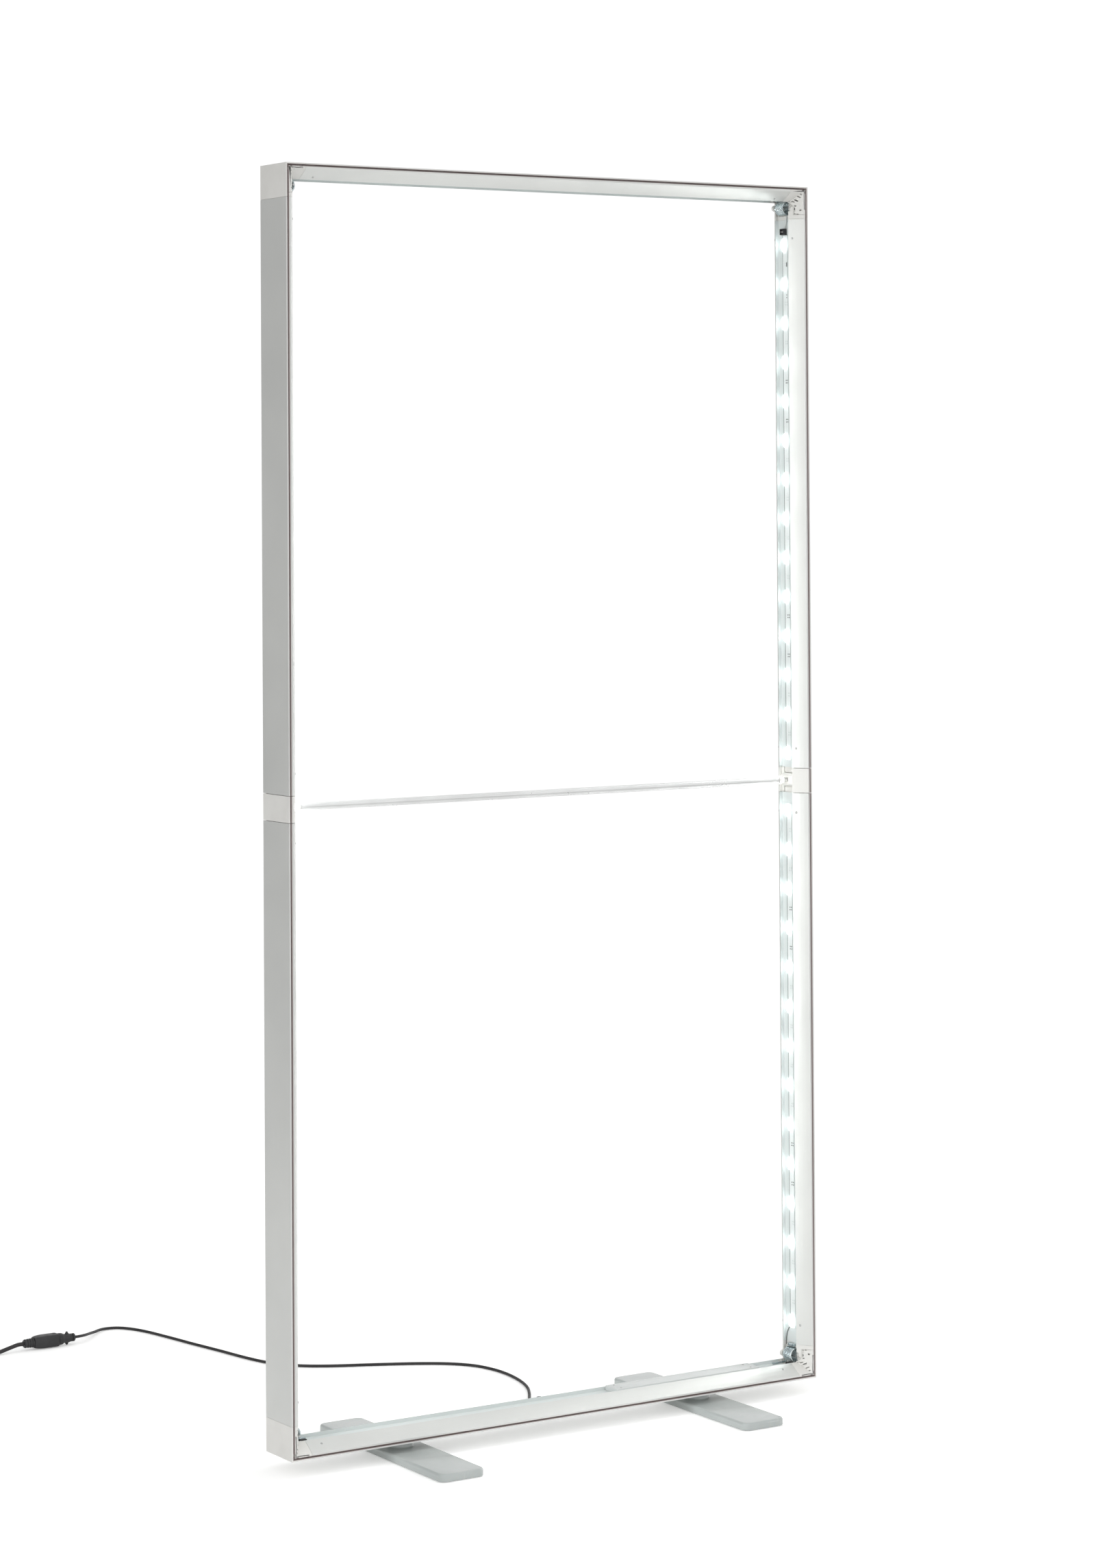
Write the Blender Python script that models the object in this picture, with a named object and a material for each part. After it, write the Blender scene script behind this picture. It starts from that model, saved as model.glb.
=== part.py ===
"""Pop-up display frame: a folding light-box frame on two swivelling feet, with its lead.

World frame in metres: +Z up, X along the width, the front faces -Y.
The origin is on the floor under the middle of the frame.
Near a corner, a place is given as (a, b, v): a inward from the outer side face,
b inward from the outer top or bottom face, v along Y from the middle of the depth.
"""
import math

import bmesh
import bpy
from mathutils import Matrix, Vector

# Whole frame
WIDTH = 1.000
HEIGHT = 2.000
DEPTH = 0.084
UNDERSIDE = 0.025

# Profile of the bars
BAR = 0.024
LIP = 0.0022
GROOVE = 0.0030
GROOVE_DEPTH = 0.010
INNER_LIP = 0.0030
CHANNEL_WIDTH = 0.036
CHANNEL_DEPTH = 0.006
WALL = 0.0018
CHEEK_BULGE = 0.0008

# Gaps between pieces that touch, and the run of a cutter past a face
SEAM = 0.0003
OVERRUN = 0.002

# Moulded corner
CORNER_RAIL_REACH = 0.035
CORNER_POST_REACH = 0.0464
SKIN_REACH = 0.0532
HINGE_A = 0.024
HINGE_B = 0.033
RECESS_RADIUS = 0.0134
RECESS_HALF = 0.0155
LUG_RADIUS = 0.0052
LUG_THICKNESS = 0.0019
LUG_ROOT = 0.008
PIN_RADIUS = 0.0015
PIN_PROUD = 0.0006
SPIGOT_LENGTH = 0.028
SPIGOT_HALF = 0.025
FAN_RADII = (0.0168, 0.0228, 0.0297)
FAN_RIB = 0.0022
FAN_SPAN = 0.0085
FAN_DEPTH = 0.006
CORNER_SCREW_RADIUS = 0.0014
CORNER_SCREW_A = 0.0125
CORNER_SCREW_B = 0.0335
CORNER_SCREW_DEPTH = 0.006

# Hinge end of an upright
END_GAP = 0.0004
EAR_WIDTH = 0.0052
EAR_TIP_THICKNESS = 0.0003
KNUCKLE_REACH = 0.0038

# Torsion spring in a corner
WIRE = 0.0035
SPRING_RADIUS = 0.01075
SPRING_FRONT = 0.01325
SPRING_PITCH = 0.0040
SPRING_START_DEG = 126.0
SPRING_TURNS = 6
SPRING_LEG = 0.060
SPRING_RAIL_LEG = 0.052
SPRING_SETTLE = 0.010
CURL_POINTS = 8

# Middle connectors and the arm tips in them
CONNECTOR_LENGTH = 0.041
TIP_GAP = 0.0008
TONGUE_LENGTH = 0.009
TONGUE_HALF = 0.013
TONGUE_THICKNESS = 0.0056
TONGUE_NOSE_SHARE = 0.25
TONGUE_END_GAP = 0.0008
FILL_HEIGHT = 0.0043
FILL_HALF = 0.0105
FILL_BLEND = 0.0045
SOCKET_DEPTH = 0.0092

# Cross bar
TUBE_RADIUS = 0.0060
TUBE_WALL = 0.0012
TUBE_MARGIN = 0.041
SLEEVE_RADIUS = 0.00675
SLEEVE_LENGTH = 0.0098
FERRULE_RADIUS = 0.0070
FERRULE_LENGTH = 0.0056
BAR_PIN_RADIUS = 0.0038
BAR_PIN_HEAD = 0.0042
BAR_PIN_HEAD_LENGTH = 0.003
BAR_PIN_INNER = 0.030
INSERT_DEPTH = 0.018
STOP_THICKNESS = 0.003
PLUNGER_SPRING_LENGTH = 0.024
PLUNGER_SPRING_WIRE = 0.0008
PLUNGER_SPRING_TURNS = 7
PLUNGER_SPRING_RADIUS = 0.0032

# Light strips
BOARD_WIDTH = 0.018
BOARD_THICKNESS = 0.0012
BOARD_LENS_MARGIN = 0.0115
UPPER_BOARD_MARGIN = 0.0795
UPPER_LED_MARGIN = 0.0962
UPPER_LED_END_MARGIN = 0.0445
LOWER_LED_MARGIN = 0.0891
LOWER_LED_END_MARGIN = 0.0516
LED_COUNT = 14
LENS_LENGTH = 0.0225
LENS_WIDTH = 0.017
LENS_HEIGHT = 0.0042
LENS_SHARES = ((-0.12, 1.0), (0.45, 0.94), (1.0, 0.45))
CONNECTOR_BLOCK_LENGTH = 0.0105
CONNECTOR_BLOCK_WIDTH = 0.013
CONNECTOR_BLOCK_HEIGHT = 0.0075
CONNECTOR_KEY = 0.0016

# Supply in the bottom bar
DRIVER_MARGIN = 0.100
DRIVER_LENGTH = 0.285
DRIVER_WIDTH = 0.0345
DRIVER_HEIGHT = 0.0075
DRIVER_EDGE = 0.0015

# Feet
FOOT_MARGIN = 0.2155
FOOT_LENGTH = 0.390
FOOT_WIDTH = 0.080
FOOT_TOP = 0.013
FOOT_BASE = 0.0010
FOOT_WAIST_TOP = 0.008
FOOT_WAIST_HALF = 0.075
FOOT_SHOULDER = 0.020
FOOT_CORNER = 0.012
FOOT_EDGE = 0.0022
BOSS_RADIUS = 0.027
BOLT_RADIUS = 0.004
BOLT_HEAD_RADIUS = 0.008
BOLT_HEAD_HEIGHT = 0.005
BOLT_HEAD_START = 0.0015
BOLT_CLEARANCE = 0.0003
NUT_PLATE = 0.030
NUT_PLATE_THICKNESS = 0.006
PAD_LENGTH = 0.052
PAD_WIDTH = 0.018
PAD_THICKNESS = 0.0022
PAD_CORNER = 0.006
PAD_INSET = 0.020

# Lead of the frame
LEAD_RADIUS = 0.0025
LEAD_HEIGHT = 0.0345
GROMMET_RADIUS = 0.0045
GROMMET_FLANGE_RADIUS = 0.0058
GROMMET_FLANGE = 0.0015
GROMMET_INNER = 0.012
GROMMET_X = 0.015
LEAD_STEP = 0.0175
LEAD_ROUTE = (
    (0.0150, 0.0560, 0.0345),
    (0.0190, 0.0800, 0.0285),
    (0.0275, 0.1000, 0.0215),
    (0.0400, 0.1250, 0.0130),
    (0.0540, 0.1500, 0.0060),
    (0.0710, 0.1810, 0.0028),
    (0.0890, 0.2100, 0.0028),
    (0.1070, 0.2430, 0.0028),
    (0.1200, 0.2770, 0.0028),
    (0.1290, 0.3150, 0.0028),
    (0.1335, 0.3580, 0.0028),
    (0.1310, 0.3970, 0.0028),
    (0.1190, 0.4370, 0.0028),
    (0.0900, 0.4740, 0.0028),
    (0.0420, 0.5080, 0.0028),
    (-0.0240, 0.5430, 0.0028),
    (-0.0920, 0.5770, 0.0028),
    (-0.1350, 0.6100, 0.0028),
    (-0.1650, 0.6570, 0.0028),
    (-0.1800, 0.7100, 0.0028),
    (-0.1930, 0.7850, 0.0028),
    (-0.2080, 0.8640, 0.0028),
    (-0.2210, 0.9400, 0.0028),
    (-0.2370, 1.0120, 0.0028),
    (-0.2600, 1.0530, 0.0028),
    (-0.2880, 1.0585, 0.0034),
    (-0.3174, 1.0350, 0.0060),
    (-0.3395, 1.0116, 0.0098),
    (-0.3560, 0.9965, 0.0119),
    (-0.3700, 0.9920, 0.0122),
)

# Inline connector between the two leads: (along, radius) of the turned half,
# (along, half width, half height) of the moulded half, from the joint face
INLINE_X = -0.378
INLINE_Y = 0.992
INLINE_Z = 0.0122
INLINE_SOCKET_LENGTH = 0.033
SOCKET_PROFILE = (
    (0.0000, 0.0046), (0.0010, 0.0071), (0.0042, 0.0071), (0.0047, 0.0058), (0.0058, 0.0058),
    (0.0063, 0.0071), (0.0094, 0.0071), (0.0100, 0.0078), (0.0205, 0.0080), (0.0262, 0.0103),
    (0.0322, 0.0105),
)
SOCKET_FACE_RADIUS = 0.0098
WING_PLACE = 0.0150
WING_ROOT_HALF = 0.0046
WING_TIP_HALF = 0.0012
WING_REACH = 0.0118
WING_THICKNESS = 0.0036
PLUG_SECTIONS = (
    (0.0000, 0.0108, 0.0102), (0.0030, 0.0120, 0.0110), (0.0300, 0.0120, 0.0110),
    (0.0400, 0.0108, 0.0102), (0.0465, 0.0092, 0.0090),
)
PLUG_CHAMFER = 0.0042
RELIEF_LENGTH = 0.019
RELIEF_ROOT = 0.0086
RELIEF_END = 0.0074
RELIEF_RIBS = 4
RIB_DEPTH = 0.0011
RIB_SHARES = ((0.08, 1.0), (0.62, 1.0), (0.74, 0.0), (0.96, 0.0))

# Mains lead, its coil and its plug
MAINS_RADIUS = 0.0035
MAINS_FLOOR = 0.0038
MAINS_STEP = 0.0110
MAINS_ROUTE = (
    (-0.4870, 0.9919, 0.0120),
    (-0.4985, 0.9893, 0.0104),
    (-0.5095, 0.9884, 0.0080),
    (-0.5210, 0.9874, 0.0055),
    (-0.5350, 0.9829, 0.0042),
    (-0.5520, 0.9737, 0.0038),
    (-0.5700, 0.9633, 0.0038),
    (-0.5850, 0.9547, 0.0038),
)
COIL_HEADING_DEG = 210.0
COIL_START_X = -0.6000
COIL_START_Y = 0.9460
COIL_OUTER = 0.0512
COIL_PITCH = 0.0076
COIL_LAYER = 0.0077
COIL_TURNS = 3
COIL_CLIMB_TURNS = 0.5
COIL_POINTS = 24
TAIL_RUN = 0.115
TAIL_BEND = 0.018
TAIL_ROUTE_SHARES = ((0.10, 0.0, 1.0), (0.42, 0.22, 0.45), (0.68, 0.75, 1.22), (0.90, 1.0, 2.04))
PLUG_RADIUS = 0.0190
PLUG_HEIGHT = 0.0195
PLUG_FACE_LENGTH = 0.014
PLUG_BODY_LENGTH = 0.036
PLUG_NECK_RADIUS = 0.0115
PLUG_RELIEF_LENGTH = 0.030
PLUG_RELIEF_RADIUS = 0.0062
PLUG_PIN_RADIUS = 0.0024
PLUG_PIN_LENGTH = 0.019
PLUG_PIN_SPACING = 0.019

# Facets round the turned pieces
FINE_SIDES = 24
ROUND_SIDES = 16
SMALL_SIDES = 10
LENS_SIDES = 8
SHARP_ANGLE = math.radians(32)
CHEEK_STEPS = 4
QUARTER_STEPS = 4
LUG_STEPS = 6
BEND_STEPS = 4
SETTLE_STEPS = 3
BLEND_STEPS = 5
SHOULDER_STEPS = 6
FOOT_CORNER_STEPS = 5
PAD_CORNER_STEPS = 3
EDGE_STEPS = 2
LINE_STEPS = 12
FINE_TUBE_STEPS = 2
PLAIN_TUBE_STEPS = 1
ROUGH_TUBE_STEPS = 0
ROUND_SHARE = 0.5
TOP_NORMAL_SHARE = 0.5
SIDE_NORMAL_SHARE = 0.1
MM_PER_METRE = 1000

FRAME_TOP = UNDERSIDE + HEIGHT
MIDDLE = UNDERSIDE + HEIGHT / 2
FLOOR_U = BAR - CHANNEL_DEPTH
CHEEK_START = LIP + GROOVE + INNER_LIP
CONNECTOR_END_B = HEIGHT / 2 - CONNECTOR_LENGTH / 2
UPRIGHT_START_B = SKIN_REACH + SEAM
UPRIGHT_END_B = CONNECTOR_END_B - TIP_GAP
SPIGOT_LOW = WALL + SEAM
SPIGOT_HIGH = FLOOR_U - WALL - SEAM
EAR_INNER = CHANNEL_WIDTH / 2 + SEAM
FILL_TOP = FLOOR_U + FILL_HEIGHT
TUBE_BORE = TUBE_RADIUS - TUBE_WALL
TUBE_END = WIDTH / 2 - TUBE_MARGIN
FOOT_X = WIDTH / 2 - FOOT_MARGIN
DRIVER_END = WIDTH / 2 - DRIVER_MARGIN
DRIVER_START = DRIVER_END - DRIVER_LENGTH
LIGHT_ROWS = {
    -1: (LOWER_LED_MARGIN - BOARD_LENS_MARGIN, LOWER_LED_MARGIN, HEIGHT / 2 - LOWER_LED_END_MARGIN),
    1: (UPPER_BOARD_MARGIN, UPPER_LED_MARGIN, HEIGHT / 2 - UPPER_LED_END_MARGIN),
}

made = {}
finishes = {}


def clear_scene():
    for obj in list(bpy.data.objects):
        bpy.data.objects.remove(obj, do_unlink=True)


def finish(name, colour, roughness, metallic=0.0):
    if name not in finishes:
        mat = bpy.data.materials.new(name)
        mat.use_nodes = True
        shader = mat.node_tree.nodes["Principled BSDF"]
        shader.inputs["Base Color"].default_value = (*colour, 1.0)
        shader.inputs["Roughness"].default_value = roughness
        shader.inputs["Metallic"].default_value = metallic
        finishes[name] = mat
    return finishes[name]


def painted_bar():
    return finish("painted_bar", (0.80, 0.81, 0.80), 0.45)


def moulding():
    return finish("moulding", (0.66, 0.65, 0.62), 0.5)


def spring_steel():
    return finish("spring_steel", (0.55, 0.62, 0.66), 0.3, 1.0)


def plain_steel():
    return finish("plain_steel", (0.62, 0.62, 0.62), 0.35, 1.0)


def bar_tube_steel():
    return finish("bar_tube_steel", (0.70, 0.71, 0.71), 0.35, 0.6)


def light_board():
    return finish("light_board", (0.85, 0.88, 0.86), 0.5)


def black_plastic():
    return finish("black_plastic", (0.025, 0.025, 0.028), 0.45)


def driver_case():
    return finish("driver_case", (0.74, 0.76, 0.76), 0.45)


def foot_paint():
    return finish("foot_paint", (0.52, 0.55, 0.54), 0.5)


def black_rubber():
    return finish("black_rubber", (0.02, 0.02, 0.02), 0.7)


def lead_sheath():
    return finish("lead_sheath", (0.02, 0.02, 0.022), 0.5)


def add_object(name, mesh, material, parent=None):
    """Link one named piece; a moving piece hangs from the empty on its joint."""
    mesh.materials.clear()
    mesh.materials.append(material)
    mesh.shade_smooth()
    mesh.set_sharp_from_angle(angle=SHARP_ANGLE)
    obj = bpy.data.objects.new(name, mesh)
    bpy.context.scene.collection.objects.link(obj)
    if parent is not None:
        obj.parent = parent
        obj.matrix_parent_inverse = Matrix.Translation(-parent.location)
    made[name] = obj
    return obj


def mesh_from(bm, name):
    bmesh.ops.recalc_face_normals(bm, faces=bm.faces)
    mesh = bpy.data.meshes.new(name)
    bm.to_mesh(mesh)
    bm.free()
    return mesh


def helper(name, bm):
    """A guide solid for a Boolean: shown as wire and left out of renders."""
    obj = bpy.data.objects.new(name, mesh_from(bm, name))
    bpy.context.scene.collection.objects.link(obj)
    obj.hide_render = True
    obj.display_type = 'WIRE'
    return obj


def boolean(obj, tool, operation):
    mod = obj.modifiers.new(tool.name, 'BOOLEAN')
    mod.operation = operation
    mod.solver = 'EXACT'
    mod.object = tool


def joint_empty(name, place):
    empty = bpy.data.objects.new(name, None)
    bpy.context.scene.collection.objects.link(empty)
    empty.location = place
    return empty


def loft(bm, rings):
    """Closed solid through rings of the same number of points."""
    layers = [[bm.verts.new(point) for point in ring] for ring in rings]
    count = len(layers[0])
    for low, high in zip(layers, layers[1:]):
        for i in range(count):
            j = (i + 1) % count
            bm.faces.new((low[i], low[j], high[j], high[i]))
    bm.faces.new(reversed(layers[0]))
    bm.faces.new(layers[-1])


def box(bm, low, high):
    corners = [(low[0], low[1]), (high[0], low[1]), (high[0], high[1]), (low[0], high[1])]
    loft(bm, [[(x, y, low[2]) for x, y in corners], [(x, y, high[2]) for x, y in corners]])


def lathe(bm, profile, sides, place):
    """Turn a profile of (along, radius) points about its axis.

    place(along, across, up) maps the axis frame to the world. Radius zero closes the end.
    """
    rings = []
    for along, radius in profile:
        if radius <= 0:
            rings.append([bm.verts.new(place(along, 0, 0))])
            continue
        ring = []
        for i in range(sides):
            angle = 2 * math.pi * i / sides
            ring.append(bm.verts.new(place(along, radius * math.cos(angle), radius * math.sin(angle))))
        rings.append(ring)
    for low, high in zip(rings, rings[1:]):
        for i in range(sides):
            j = (i + 1) % sides
            quad = [low[i % len(low)], low[j % len(low)], high[j % len(high)], high[i % len(high)]]
            face = [v for k, v in enumerate(quad) if v not in quad[:k]]
            if len(face) > 2:
                bm.faces.new(face)
    for ring, flip in ((rings[0], True), (rings[-1], False)):
        if len(ring) > 1:
            bm.faces.new(reversed(ring) if flip else ring)


def ring_lathe(bm, profile, sides, place):
    """Turn a closed profile that stays clear of the axis, such as a washer or a tube."""
    rings = []
    for along, radius in profile:
        ring = []
        for i in range(sides):
            angle = 2 * math.pi * i / sides
            ring.append(bm.verts.new(place(along, radius * math.cos(angle), radius * math.sin(angle))))
        rings.append(ring)
    for k, low in enumerate(rings):
        high = rings[(k + 1) % len(rings)]
        for i in range(sides):
            j = (i + 1) % sides
            bm.faces.new((low[i], low[j], high[j], high[i]))


def along_x(y, z):
    return lambda along, across, up: (along, y + across, z + up)


def along_y(x, z):
    return lambda along, across, up: (x + across, along, z + up)


def along_z(x, y):
    return lambda along, across, up: (x + across, y + up, along)


def smooth_step(t):
    t = min(max(t, 0.0), 1.0)
    return t * t * (3 - 2 * t)


def both_sides(half):
    """Mirror a half outline in v and close it."""
    return half + [(u, -v) for u, v in reversed(half)]


def cheek_points(start_u):
    """Slightly convex cheek from the inner lip to the mouth of the channel."""
    run = Vector((BAR - CHEEK_START, CHANNEL_WIDTH / 2 - DEPTH / 2))
    out = Vector((-run.y, run.x)).normalized()
    points = []
    for i in range(CHEEK_STEPS + 1):
        t = i / CHEEK_STEPS
        place = Vector((CHEEK_START, DEPTH / 2)) + run * t + out * CHEEK_BULGE * 4 * t * (1 - t)
        if place.x >= start_u:
            points.append((place.x, place.y))
    return points


def cheek_v(u):
    """Depth of the straight cheek line at height u."""
    return DEPTH / 2 + (u - CHEEK_START) * (CHANNEL_WIDTH - DEPTH) / 2 / (BAR - CHEEK_START)


def profile_outline():
    groove_floor = DEPTH / 2 - GROOVE_DEPTH
    half = [(0, DEPTH / 2), (LIP, DEPTH / 2), (LIP, groove_floor), (LIP + GROOVE, groove_floor),
            (LIP + GROOVE, DEPTH / 2)]
    half += cheek_points(CHEEK_START)
    half.append((FLOOR_U, CHANNEL_WIDTH / 2))
    return both_sides(half)


def chamber_outline():
    """Hollow of the extruded bar, one wall inside the outline."""
    run = Vector((BAR - CHEEK_START, CHANNEL_WIDTH / 2 - DEPTH / 2)).normalized()
    back = Vector((run.y, -run.x)) * WALL
    foot = LIP + GROOVE + WALL
    groove_floor = DEPTH / 2 - GROOVE_DEPTH - WALL
    side = CHANNEL_WIDTH / 2 + WALL
    half = [(WALL, groove_floor), (foot, groove_floor)]
    for v in (DEPTH / 2 - INNER_LIP, side):
        u = CHEEK_START + back.x + (v - DEPTH / 2 - back.y) * run.x / run.y
        if v != side:
            half.append((foot, v))
            u = max(u, foot + SEAM)
        half.append((u, v))
    half.append((FLOOR_U - WALL, side))
    return both_sides(half)


def hinge_end_outline():
    """Profile without its outer wall, which the moulded corner's skin covers."""
    groove_floor = DEPTH / 2 - GROOVE_DEPTH
    half = [(LIP + SEAM, groove_floor), (LIP + GROOVE, groove_floor), (LIP + GROOVE, DEPTH / 2)]
    half += cheek_points(CHEEK_START)
    half.append((FLOOR_U, CHANNEL_WIDTH / 2))
    return both_sides(half)


def corner_point(side, level, a, b, v):
    z = UNDERSIDE + b if level < 0 else FRAME_TOP - b
    return Vector((side * (WIDTH / 2 - a), v, z))


def corner_box(bm, side, level, low, high):
    """Box between two (a, b, v) places."""
    one = corner_point(side, level, *low)
    two = corner_point(side, level, *high)
    box(bm, [min(p, q) for p, q in zip(one, two)], [max(p, q) for p, q in zip(one, two)])


def corner_prism(bm, side, level, outline, v_start, v_end):
    """Outline of (a, b) points carried along the depth."""
    loft(bm, [[corner_point(side, level, a, b, v) for a, b in outline] for v in (v_start, v_end)])


def hollow_bar(name, start, end, material, parent=None):
    """Extruded bar; start and end map a section point to its two end planes."""
    bm = bmesh.new()
    loops = []
    for outline in (profile_outline(), chamber_outline()):
        ring = [bm.verts.new(start(u, v)) for u, v in outline]
        loops += [bm.edges.new((ring[i], ring[(i + 1) % len(ring)])) for i in range(len(ring))]
    bmesh.ops.triangle_fill(bm, use_beauty=True, edges=loops)
    origin = Vector(start(0, 0))
    run = Vector(end(0, 0)) - origin
    pushed = bmesh.ops.extrude_face_region(bm, geom=bm.faces[:])
    moved = [item for item in pushed["geom"] if isinstance(item, bmesh.types.BMVert)]
    bmesh.ops.translate(bm, verts=moved, vec=run)
    return add_object(name, mesh_from(bm, name), material, parent)


def make_rail(name, level, parent):
    def section(side):
        return lambda u, v: corner_point(side, level, CORNER_RAIL_REACH + SEAM, u, v)
    return hollow_bar(name, section(-1), section(1), painted_bar(), parent)


def make_upright(name, side, level, parent):
    def section(b):
        return lambda u, v: corner_point(side, level, u, b, v)
    return hollow_bar(name, section(UPRIGHT_START_B), section(UPRIGHT_END_B), painted_bar(), parent)


def mitre_place(radius):
    """Point of the mitre line at this distance from the hinge."""
    total = HINGE_A + HINGE_B
    rest = HINGE_A ** 2 + HINGE_B ** 2 - radius ** 2
    return (total - math.sqrt(total ** 2 - 2 * rest)) / 2


def fan_slot(bm, side, level, radius, face):
    """Slot curved about the hinge, sunk into the cheek across the mitre."""
    place = mitre_place(radius)
    middle = math.atan2(place - HINGE_B, place - HINGE_A)
    half_angle = FAN_SPAN / 2 / radius
    half_width = (FAN_RADII[2] - FAN_RADII[1] - FAN_RIB) / 2
    outline = []
    for r, angles in ((radius - half_width, (-1, 0, 1)), (radius + half_width, (1, 0, -1))):
        for k in angles:
            turn = middle + k * half_angle
            outline.append((HINGE_A + r * math.cos(turn), HINGE_B + r * math.sin(turn)))
    surface = min(cheek_v(max(place, CHEEK_START)), DEPTH / 2)
    corner_prism(bm, side, level, outline, face * (surface - FAN_DEPTH), face * (DEPTH / 2 + OVERRUN))


def ear_gap(bm, side, level, face):
    radius = EAR_WIDTH + END_GAP
    low = HINGE_B - radius
    outline = [(BAR + OVERRUN, low)]
    for i in range(QUARTER_STEPS + 1):
        turn = math.radians(270 - 90 * i / QUARTER_STEPS)
        outline.append((HINGE_A + radius * math.cos(turn), HINGE_B + radius * math.sin(turn)))
    outline.append((HINGE_A - radius, CORNER_POST_REACH + OVERRUN))
    outline.append((BAR + OVERRUN, CORNER_POST_REACH + OVERRUN))
    corner_prism(bm, side, level, outline, face * (CHANNEL_WIDTH / 2 - SEAM), face * (DEPTH / 2 + OVERRUN))


def lug(bm, side, level, face):
    outline = []
    for i in range(LUG_STEPS + 1):
        turn = math.radians(-90 + 180 * i / LUG_STEPS)
        outline.append((HINGE_A + LUG_RADIUS * math.cos(turn), HINGE_B + LUG_RADIUS * math.sin(turn)))
    outline.append((HINGE_A - LUG_ROOT, HINGE_B + LUG_RADIUS))
    outline.append((HINGE_A - LUG_ROOT, HINGE_B - LUG_RADIUS))
    corner_prism(bm, side, level, outline, face * (RECESS_HALF + SEAM),
                 face * (RECESS_HALF + SEAM + LUG_THICKNESS))


def pin_bore(name, side, level):
    hinge = corner_point(side, level, HINGE_A, HINGE_B, 0)
    bm = bmesh.new()
    for face in (-1, 1):
        low = face * (RECESS_HALF - OVERRUN)
        high = face * (EAR_INNER + KNUCKLE_REACH + OVERRUN)
        lathe(bm, [(low, PIN_RADIUS + SEAM), (high, PIN_RADIUS + SEAM)], SMALL_SIDES,
              along_y(hinge.x, hinge.z))
    return helper(name, bm)


def make_corner(name, side, level, parent):
    bm = bmesh.new()
    outline = profile_outline()
    loft(bm, [
        [corner_point(side, level, CORNER_RAIL_REACH, u, v) for u, v in outline],
        [corner_point(side, level, u, u, v) for u, v in outline],
        [corner_point(side, level, u, CORNER_POST_REACH, v) for u, v in outline],
    ])
    obj = add_object(name, mesh_from(bm, name), moulding(), parent)
    hinge = corner_point(side, level, HINGE_A, HINGE_B, 0)

    cut = bmesh.new()
    lathe(cut, [(-RECESS_HALF, RECESS_RADIUS), (RECESS_HALF, RECESS_RADIUS)], FINE_SIDES,
          along_y(hinge.x, hinge.z))
    for face in (-1, 1):
        ear_gap(cut, side, level, face)
        for radius in FAN_RADII:
            fan_slot(cut, side, level, radius, face)
    boolean(obj, helper(name + "_cuts", cut), 'DIFFERENCE')

    add = bmesh.new()
    corner_box(add, side, level, (0, CORNER_POST_REACH - OVERRUN, -DEPTH / 2), (LIP, SKIN_REACH, DEPTH / 2))
    corner_box(add, side, level, (CORNER_RAIL_REACH - OVERRUN, SPIGOT_LOW, -SPIGOT_HALF),
               (CORNER_RAIL_REACH + SPIGOT_LENGTH, SPIGOT_HIGH, SPIGOT_HALF))
    for face in (-1, 1):
        lug(add, side, level, face)
    boolean(obj, helper(name + "_lugs", add), 'UNION')

    boolean(obj, pin_bore(name + "_pin_bore", side, level), 'DIFFERENCE')
    screw = corner_point(side, level, CORNER_SCREW_A, CORNER_SCREW_B, 0)
    hole = bmesh.new()
    surface = cheek_v(CORNER_SCREW_A)
    lathe(hole, [(-surface + CORNER_SCREW_DEPTH, CORNER_SCREW_RADIUS),
                 (-DEPTH / 2 - OVERRUN, CORNER_SCREW_RADIUS)], SMALL_SIDES, along_y(screw.x, screw.z))
    boolean(obj, helper(name + "_screw_hole", hole), 'DIFFERENCE')
    return obj


def make_hinge_end(name, side, level, parent):
    """Moulded end of an upright with two ears that carry the hinge knuckles."""
    bm = bmesh.new()
    outline = hinge_end_outline()
    low = CORNER_POST_REACH + END_GAP
    loft(bm, [[corner_point(side, level, u, b, v) for u, v in outline] for b in (low, SKIN_REACH)])
    obj = add_object(name, mesh_from(bm, name), moulding(), parent)

    add = bmesh.new()
    corner_box(add, side, level, (SPIGOT_LOW + LIP, SKIN_REACH - OVERRUN, -SPIGOT_HALF),
               (SPIGOT_HIGH, SKIN_REACH + SPIGOT_LENGTH, SPIGOT_HALF))
    outer = HINGE_A - EAR_WIDTH
    inner = BAR - EAR_TIP_THICKNESS
    for face in (-1, 1):
        wedge = [(outer, EAR_INNER), (inner, EAR_INNER), (inner, cheek_v(inner)), (outer, cheek_v(outer))]
        loft(add, [[corner_point(side, level, u, b, face * v) for u, v in wedge]
                   for b in (HINGE_B, low + OVERRUN)])
    boolean(obj, helper(name + "_ears", add), 'UNION')

    hinge = corner_point(side, level, HINGE_A, HINGE_B, 0)
    knuckles = bmesh.new()
    for face in (-1, 1):
        lathe(knuckles, [(face * EAR_INNER, EAR_WIDTH), (face * (EAR_INNER + KNUCKLE_REACH), EAR_WIDTH)],
              ROUND_SIDES, along_y(hinge.x, hinge.z))
    boolean(obj, helper(name + "_knuckles", knuckles), 'UNION')
    boolean(obj, pin_bore(name + "_pin_bore", side, level), 'DIFFERENCE')
    return obj


def make_hinge_pin(name, side, level, parent):
    hinge = corner_point(side, level, HINGE_A, HINGE_B, 0)
    bm = bmesh.new()
    end = EAR_INNER + KNUCKLE_REACH + PIN_PROUD
    lathe(bm, [(-end, PIN_RADIUS), (end, PIN_RADIUS)], SMALL_SIDES, along_y(hinge.x, hinge.z))
    return add_object(name, mesh_from(bm, name), plain_steel(), parent)


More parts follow.
